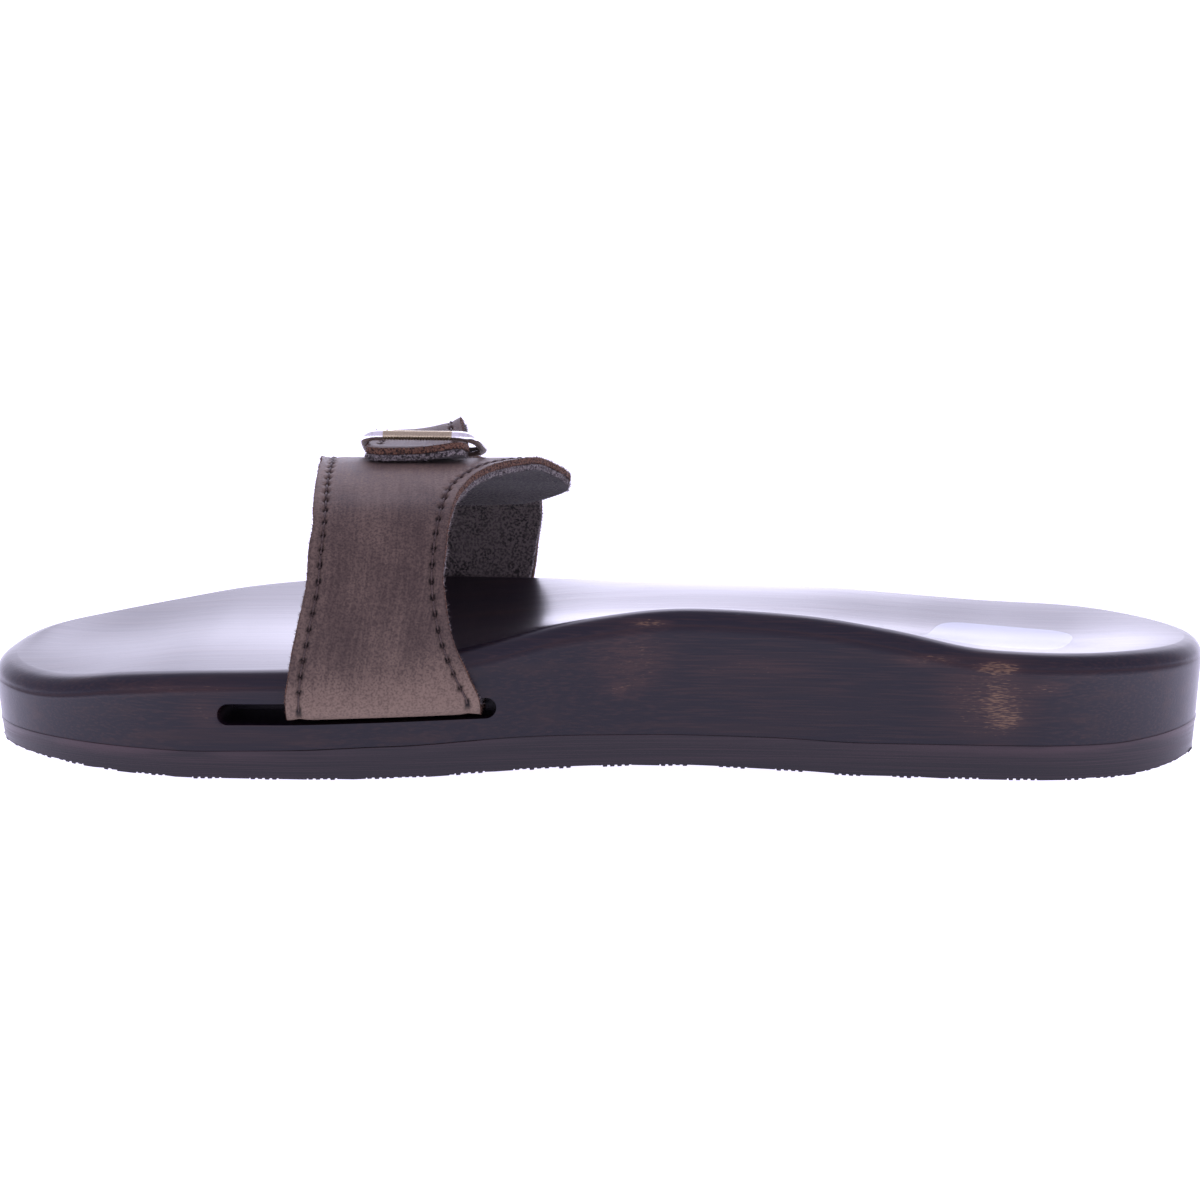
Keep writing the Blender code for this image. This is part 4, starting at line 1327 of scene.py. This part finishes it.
def make_fibres(name, edge, tall, longest, seed, finish):
    """Short curved fibres that stand out of a layer's cut edge, which is `tall` high."""
    root, out, up = edge
    chance = np.random.default_rng(seed)
    ends = np.roll(root, -1, axis=0)
    gaps = np.linalg.norm(ends - root, axis=1)
    start = chance.choice(len(root), int(gaps.sum() * FIBRES_PER_MM), p=gaps / gaps.sum())
    share = chance.uniform(0, 1, (len(start), 1))
    height = chance.uniform(0.0, tall, (len(start), 1))
    base = root[start] * (1 - share) + ends[start] * share + up[start] * height
    scatter = chance.normal(0, FIBRE_SCATTER, (len(start), 3))
    lean = unit(out[start] + scatter)
    side = unit(np.cross(lean, chance.normal(0, 1, (len(start), 3))))
    length = longest * chance.uniform(FIBRE_SHORTEST, 1.0, (len(start), 1)) ** FIBRE_LENGTH_POWER
    bend = chance.normal(0, FIBRE_BEND, (len(start), 3)) * length
    base = base + out[start] * FIBRE_ROOT_OUT
    half = side * FIBRE_WIDTH / 2
    knee = base + lean * length * FIBRE_KNEE + bend * FIBRE_KNEE_BEND
    tip = base + lean * length + bend
    shell = Shell()
    a, b = shell.add(base - half), shell.add(base + half)
    narrower = half * FIBRE_KNEE_WIDTH
    c, d = shell.add(knee - narrower), shell.add(knee + narrower)
    e = shell.add(tip)
    shell.faces += np.column_stack([a, b, d, c]).tolist() + np.column_stack([c, d, e]).tolist()
    return shell.to_object(name, finish)


THREAD_SIDES = 7
THREAD_STEPS = 9
THREAD_SINK = 0.8
THREAD_PROUD = -0.12
THREAD_END = 0.7
THREAD_SWELL = 0.3
STEEP = 0.8


def make_seam(name, strap, face, runs, thread, finish):
    """A thread from each needle hole to the next, on the leather or on the lining, sunk at both ends."""
    shell = Shell()
    t = np.linspace(0, 1, THREAD_STEPS)
    arch = np.sin(math.pi * t) ** 0.5
    rise = -THREAD_SINK + (THREAD_SINK + THREAD_PROUD) * arch
    depth = LEATHER_FACE + rise if face == "leather" else -rise
    for holes in runs:
        for start, end in zip(holes, holes[1:]):
            places = start + (end - start) * t[:, None]
            add_tube(shell, strap.at(*places.T, depth), thread / 2 * (THREAD_END + THREAD_SWELL * arch))
    return shell.to_object(name, finish, crease_angle=80.0)


def add_tube(shell, path, radius):
    """A round tube along a path, closed at both ends."""
    ahead = unit(np.gradient(path, axis=0))
    helper = np.where(np.abs(ahead[:, 2:]) < STEEP, [[0.0, 0.0, 1.0]], [[0.0, 1.0, 0.0]])
    side = unit(np.cross(ahead, helper))
    other = np.cross(ahead, side)
    turn = np.linspace(0, 2 * math.pi, THREAD_SIDES, endpoint=False)
    radius = np.broadcast_to(radius, len(path))[:, None, None]
    circle = side[:, None] * np.cos(turn)[None, :, None] + other[:, None] * np.sin(turn)[None, :, None]
    shell.tube(shell.add(path[:, None] + circle * radius))


def rounded_path(corners, radius):
    """A path through corner points, each inner corner replaced by a short arc-like curve."""
    path = [corners[0]]
    last = len(corners) - 2
    for at in range(1, last + 1):
        before, corner, after = corners[at - 1 : at + 2]
        most_before = (before - corner).length * (END_SHARE if at == 1 else MIDDLE_SHARE)
        most_after = (after - corner).length * (END_SHARE if at == last else MIDDLE_SHARE)
        start = corner + (before - corner).normalized() * min(radius, most_before)
        end = corner + (after - corner).normalized() * min(radius, most_after)
        for step in range(BUCKLE_CORNER_STEPS + 1):
            t = step / BUCKLE_CORNER_STEPS
            path.append(start * (1 - t) ** 2 + corner * 2 * t * (1 - t) + end * t * t)
    path.append(corners[-1])
    return path


def bar_section(wide, tall):
    """A rounded section, as points (a, b) about its middle."""
    turn = np.linspace(0, 2 * math.pi, BAR_SIDES, endpoint=False)
    return np.column_stack([np.cos(turn) * wide / 2, np.sin(turn) * tall / 2])


def far_bar():
    """(y, z) of the middle of the buckle's far bar, which lies on the medial strap."""
    return on_medial_strap(BUCKLE_FAR_Y, PIECE_GAP + BUCKLE_TALL / 2 + BUCKLE_CLEARANCE)


def inward_of_buckle():
    """The way from the buckle's near bar to its far bar."""
    far_y, far_z = far_bar()
    return Vector((0.0, far_y - BUCKLE_NEAR_Y, far_z - BUCKLE_NEAR_Z)).normalized()


def make_buckle_frame(finish):
    """The bent bar of the buckle, open at its near side."""
    near_reach, far_reach = ((width - BUCKLE_BAR) / 2 for width in (BUCKLE_NEAR_WIDTH, BUCKLE_FAR_WIDTH))
    far_y, far_z = far_bar()
    half_loop = [
        (GRIP_LENGTH / 2 - GRIP_OVERLAP, BUCKLE_NEAR_Y, BUCKLE_NEAR_Z),
        (near_reach, BUCKLE_NEAR_Y, BUCKLE_NEAR_Z),
        (far_reach, far_y, far_z),
    ]
    right = [Vector((BUCKLE_X + x, y, z)) for x, y, z in half_loop]
    left = [Vector((BUCKLE_X - x, y, z)) for x, y, z in half_loop]
    path = rounded_path(right + left[::-1], BUCKLE_CORNER)
    section = bar_section(BUCKLE_BAR, BUCKLE_TALL)
    shell = Shell()
    side = inward_of_buckle()
    rings = []
    for i, point in enumerate(path):
        ahead = (path[min(i + 1, len(path) - 1)] - path[max(i - 1, 0)]).normalized()
        side = (side - ahead * side.dot(ahead)).normalized()
        other = ahead.cross(side)
        rings.append(shell.add([tuple(point + side * a + other * b) for a, b in section]))
    shell.tube(rings)
    return shell.to_object("buckle_frame_bar", finish, crease_angle=50.0)


GRIP_STEPS_PER_TOOTH = 4
TEETH_START = 0.1
GROOVE_START = 0.2
GROOVE_SHARE = 0.5


def make_grip_bar(sizes, finish):
    """The toothed bar that grips the tab: teeth along its lower edge, shallow grooves up its face."""
    pitch, depth = sizes.tooth_pitch / MM, sizes.tooth_depth / MM
    teeth = round(GRIP_LENGTH / pitch)
    x = np.linspace(-GRIP_LENGTH / 2, GRIP_LENGTH / 2, teeth * GRIP_STEPS_PER_TOOTH + 1)
    phase = np.arange(len(x)) % GRIP_STEPS_PER_TOOTH / GRIP_STEPS_PER_TOOTH
    notch = 1 - np.abs(2 * phase - 1)
    section = bar_section(GRIP_BAR, BUCKLE_TALL)
    low = smooth_step(-section[:, 1], TEETH_START, BUCKLE_TALL / 2)
    face = smooth_step(-section[:, 0], GROOVE_START, GRIP_BAR / 2)
    _, level, drop = inward_of_buckle()
    shell = Shell()
    rings = []
    for at, cut in zip(x, notch):
        a = section[:, 0] + face * cut * depth * GROOVE_SHARE
        b = section[:, 1] + low * cut * depth
        y, z = BUCKLE_NEAR_Y + a * level - b * drop, BUCKLE_NEAR_Z + a * drop + b * level
        rings.append(shell.add(np.column_stack([np.full(len(y), BUCKLE_X + at), y, z])))
    shell.tube(rings)
    return shell.to_object("buckle_grip_teeth", finish, crease_angle=35.0)


class SANDAL_OT_footbed(bpy.types.Operator):
    """Carves the wooden footbed, with its edge roll and its two slots"""

    bl_idname = "sandal.footbed"
    bl_label = "Footbed"

    def execute(self, context):
        sizes, colours = context.scene.sandal_sizes, context.scene.sandal_colours
        show(make_footbed(sizes, wood_finish(colours)), "stained_wood", "footbed")
        return {"FINISHED"}


class SANDAL_OT_outsole(bpy.types.Operator):
    """Lays the rubber outsole under the wood, with its tread"""

    bl_idname = "sandal.outsole"
    bl_label = "Outsole"

    def execute(self, context):
        sizes, colours = context.scene.sandal_sizes, context.scene.sandal_colours
        rubber = rubber_finish(colours)
        show(make_outsole(sizes, rubber), "outsole_rubber", "outsole")
        show(make_tread(sizes, rubber), "outsole_rubber")
        return {"FINISHED"}


class SANDAL_OT_straps(bpy.types.Operator):
    """Cuts both straps in leather and suede, and sews them"""

    bl_idname = "sandal.straps"
    bl_label = "Straps"

    def execute(self, context):
        sizes, colours = context.scene.sandal_sizes, context.scene.sandal_colours
        finishes = {
            "leather": leather_finish(colours),
            "suede": suede_finish(colours),
            "thread": thread_finish(colours),
            "raw": fibre_finish("raw_leather_fibres", 0.6, colours.leather, colours.leather_cut, 0.9),
            "fuzz": fibre_finish("suede_fibres", 0.9, colours.suede, colours.suede_fibre, 0.95),
        }
        make_strap("strap_medial", medial_strap(), 0.0, MEDIAL_RIPPLES, 100, sizes, finishes)
        make_strap("strap_lateral", lateral_strap(), TAB_UNSEWN, LATERAL_RIPPLES, 200, sizes, finishes)
        return {"FINISHED"}


NICKEL_ROUGHNESS = 0.10
BRASS_ROUGHNESS = 0.34


class SANDAL_OT_buckle(bpy.types.Operator):
    """Bends the buckle's frame and cuts the teeth of its grip bar"""

    bl_idname = "sandal.buckle"
    bl_label = "Buckle"

    def execute(self, context):
        sizes, colours = context.scene.sandal_sizes, context.scene.sandal_colours
        frame_piece = make_buckle_frame(plated_finish("nickel_plate", colours.nickel, NICKEL_ROUGHNESS))
        show(frame_piece, "buckle_nickel", "buckle_frame")
        grip = make_grip_bar(sizes, plated_finish("grip_brass", colours.brass, BRASS_ROUGHNESS))
        show(grip, "buckle_brass", "buckle_grip_bar")
        return {"FINISHED"}


FLOOR_RADIUS = 12.0
FLOOR_SIDES = 96
GLOW_START = 70.0
GLOW_END = 240.0
# The back light, by the direction's Y and X: where it starts and is full, and how it falls off to the sides
BACK_LIGHT_Y = (0.3, 0.9)
BACK_LIGHT_ASIDE = 0.07
BACK_LIGHT_FALL_X = (0.02, 0.15)
BACK_LIGHT_SIDES = 0.42
FLOOR_CLOUD = 0.985
SENSOR_WIDTH = 36.0


class SANDAL_OT_stage(bpy.types.Operator):
    """Sets the pale floor, the soft light and the camera"""

    bl_idname = "sandal.stage"
    bl_label = "Stage"

    def execute(self, context):
        stage = context.scene.sandal_stage
        self.lay_floor(context, stage)
        self.light(context, stage)
        self.place_camera(context, stage)
        context.scene.view_settings.view_transform = "Standard"
        return {"FINISHED"}

    def lay_floor(self, context, stage):
        finish = Finish("pale_floor", roughness=0.9)
        cloud = finish.noise(900.0, detail=1.0)
        clouded = [c * FLOOR_CLOUD for c in stage.floor]
        finish.set("Base Color", finish.mix(finish.rise(cloud, 0.3, 0.7), stage.floor, clouded))
        finish.set("Emission Color", (*stage.floor_light, 1.0))
        lengthwise = finish.node("ShaderNodeSeparateXYZ", {0: finish.place}, output="X")
        aside = finish.maths("ABSOLUTE", lengthwise, 0.0)
        limits = (GLOW_START * MM, GLOW_END * MM, stage.floor_glow, stage.side_glow)
        finish.set("Emission Strength", finish.rise(aside, *limits))
        shape = bmesh.new()
        bmesh.ops.create_circle(shape, cap_ends=True, segments=FLOOR_SIDES, radius=FLOOR_RADIUS)
        mesh = bpy.data.meshes.new("floor")
        shape.to_mesh(mesh)
        shape.free()
        mesh.materials.append(finish.material)
        floor = bpy.data.objects.new("floor", mesh)
        context.scene.collection.objects.link(floor)

    def light(self, context, stage):
        world = bpy.data.worlds.new("soft_studio")
        world.use_nodes = True
        sky = Nodes(world.node_tree)
        background = sky.tree.nodes["Background"].inputs
        direction = sky.node("ShaderNodeTexCoord", output="Generated")
        x, y = (sky.node("ShaderNodeSeparateXYZ", {0: direction}, output=axis) for axis in ("X", "Y"))
        aside = sky.maths("ABSOLUTE", sky.maths("ADD", x, BACK_LIGHT_ASIDE), 0.0)
        extra = sky.rise(y, *BACK_LIGHT_Y, 0.0, stage.back_light - stage.front_light)
        extra = sky.maths("MULTIPLY", extra, sky.rise(aside, *BACK_LIGHT_FALL_X, 1.0, BACK_LIGHT_SIDES))
        sky.feed(background["Strength"], sky.maths("ADD", extra, stage.front_light))
        sky.feed(background["Color"], sky.mix(y, stage.sky, stage.back_sky))
        context.scene.world = world

    def place_camera(self, context, stage):
        camera = bpy.data.cameras.new("photo_camera")
        camera.lens = stage.lens
        camera.sensor_width = SENSOR_WIDTH
        holder = bpy.data.objects.new("photo_camera", camera)
        level = math.cos(stage.elevation)
        back = Vector(
            (math.sin(stage.azimuth) * level, -math.cos(stage.azimuth) * level, math.sin(stage.elevation))
        )
        holder.location = Vector(stage.target) + back * stage.distance
        holder.rotation_mode = "QUATERNION"
        holder.rotation_quaternion = back.to_track_quat("Z", "Y")
        context.scene.collection.objects.link(holder)
        context.scene.camera = holder


class SANDAL_PT_pieces(bpy.types.Panel):
    """Lists the sandal's pieces and the values they are made from"""

    bl_idname = "SANDAL_PT_pieces"
    bl_label = "Wooden sandal"
    bl_space_type = "VIEW_3D"
    bl_region_type = "UI"
    bl_category = "Sandal"

    def draw(self, context):
        for operator in OPERATORS:
            self.layout.operator(operator.bl_idname)
        for group in GROUPS:
            values = getattr(context.scene, group)
            box = self.layout.box()
            for name in values.bl_rna.properties.keys():
                if name not in ("rna_type", "name"):
                    box.prop(values, name)


OPERATORS = (SANDAL_OT_stage, SANDAL_OT_footbed, SANDAL_OT_outsole, SANDAL_OT_straps, SANDAL_OT_buckle)
GROUPS = {"sandal_sizes": SandalSizes, "sandal_colours": SandalColours, "sandal_stage": SandalStage}


def register():
    for made in (*GROUPS.values(), *OPERATORS, SANDAL_PT_pieces):
        bpy.utils.register_class(made)
    for name, group in GROUPS.items():
        setattr(bpy.types.Scene, name, bpy.props.PointerProperty(type=group))


def unregister():
    for name in GROUPS:
        delattr(bpy.types.Scene, name)
    for made in (SANDAL_PT_pieces, *OPERATORS[::-1], *tuple(GROUPS.values())[::-1]):
        bpy.utils.unregister_class(made)


def main():
    register()
    bpy.ops.sandal.stage()
    bpy.ops.sandal.footbed()
    bpy.ops.sandal.outsole()
    bpy.ops.sandal.straps()
    bpy.ops.sandal.buckle()


if __name__ == "__main__":
    main()
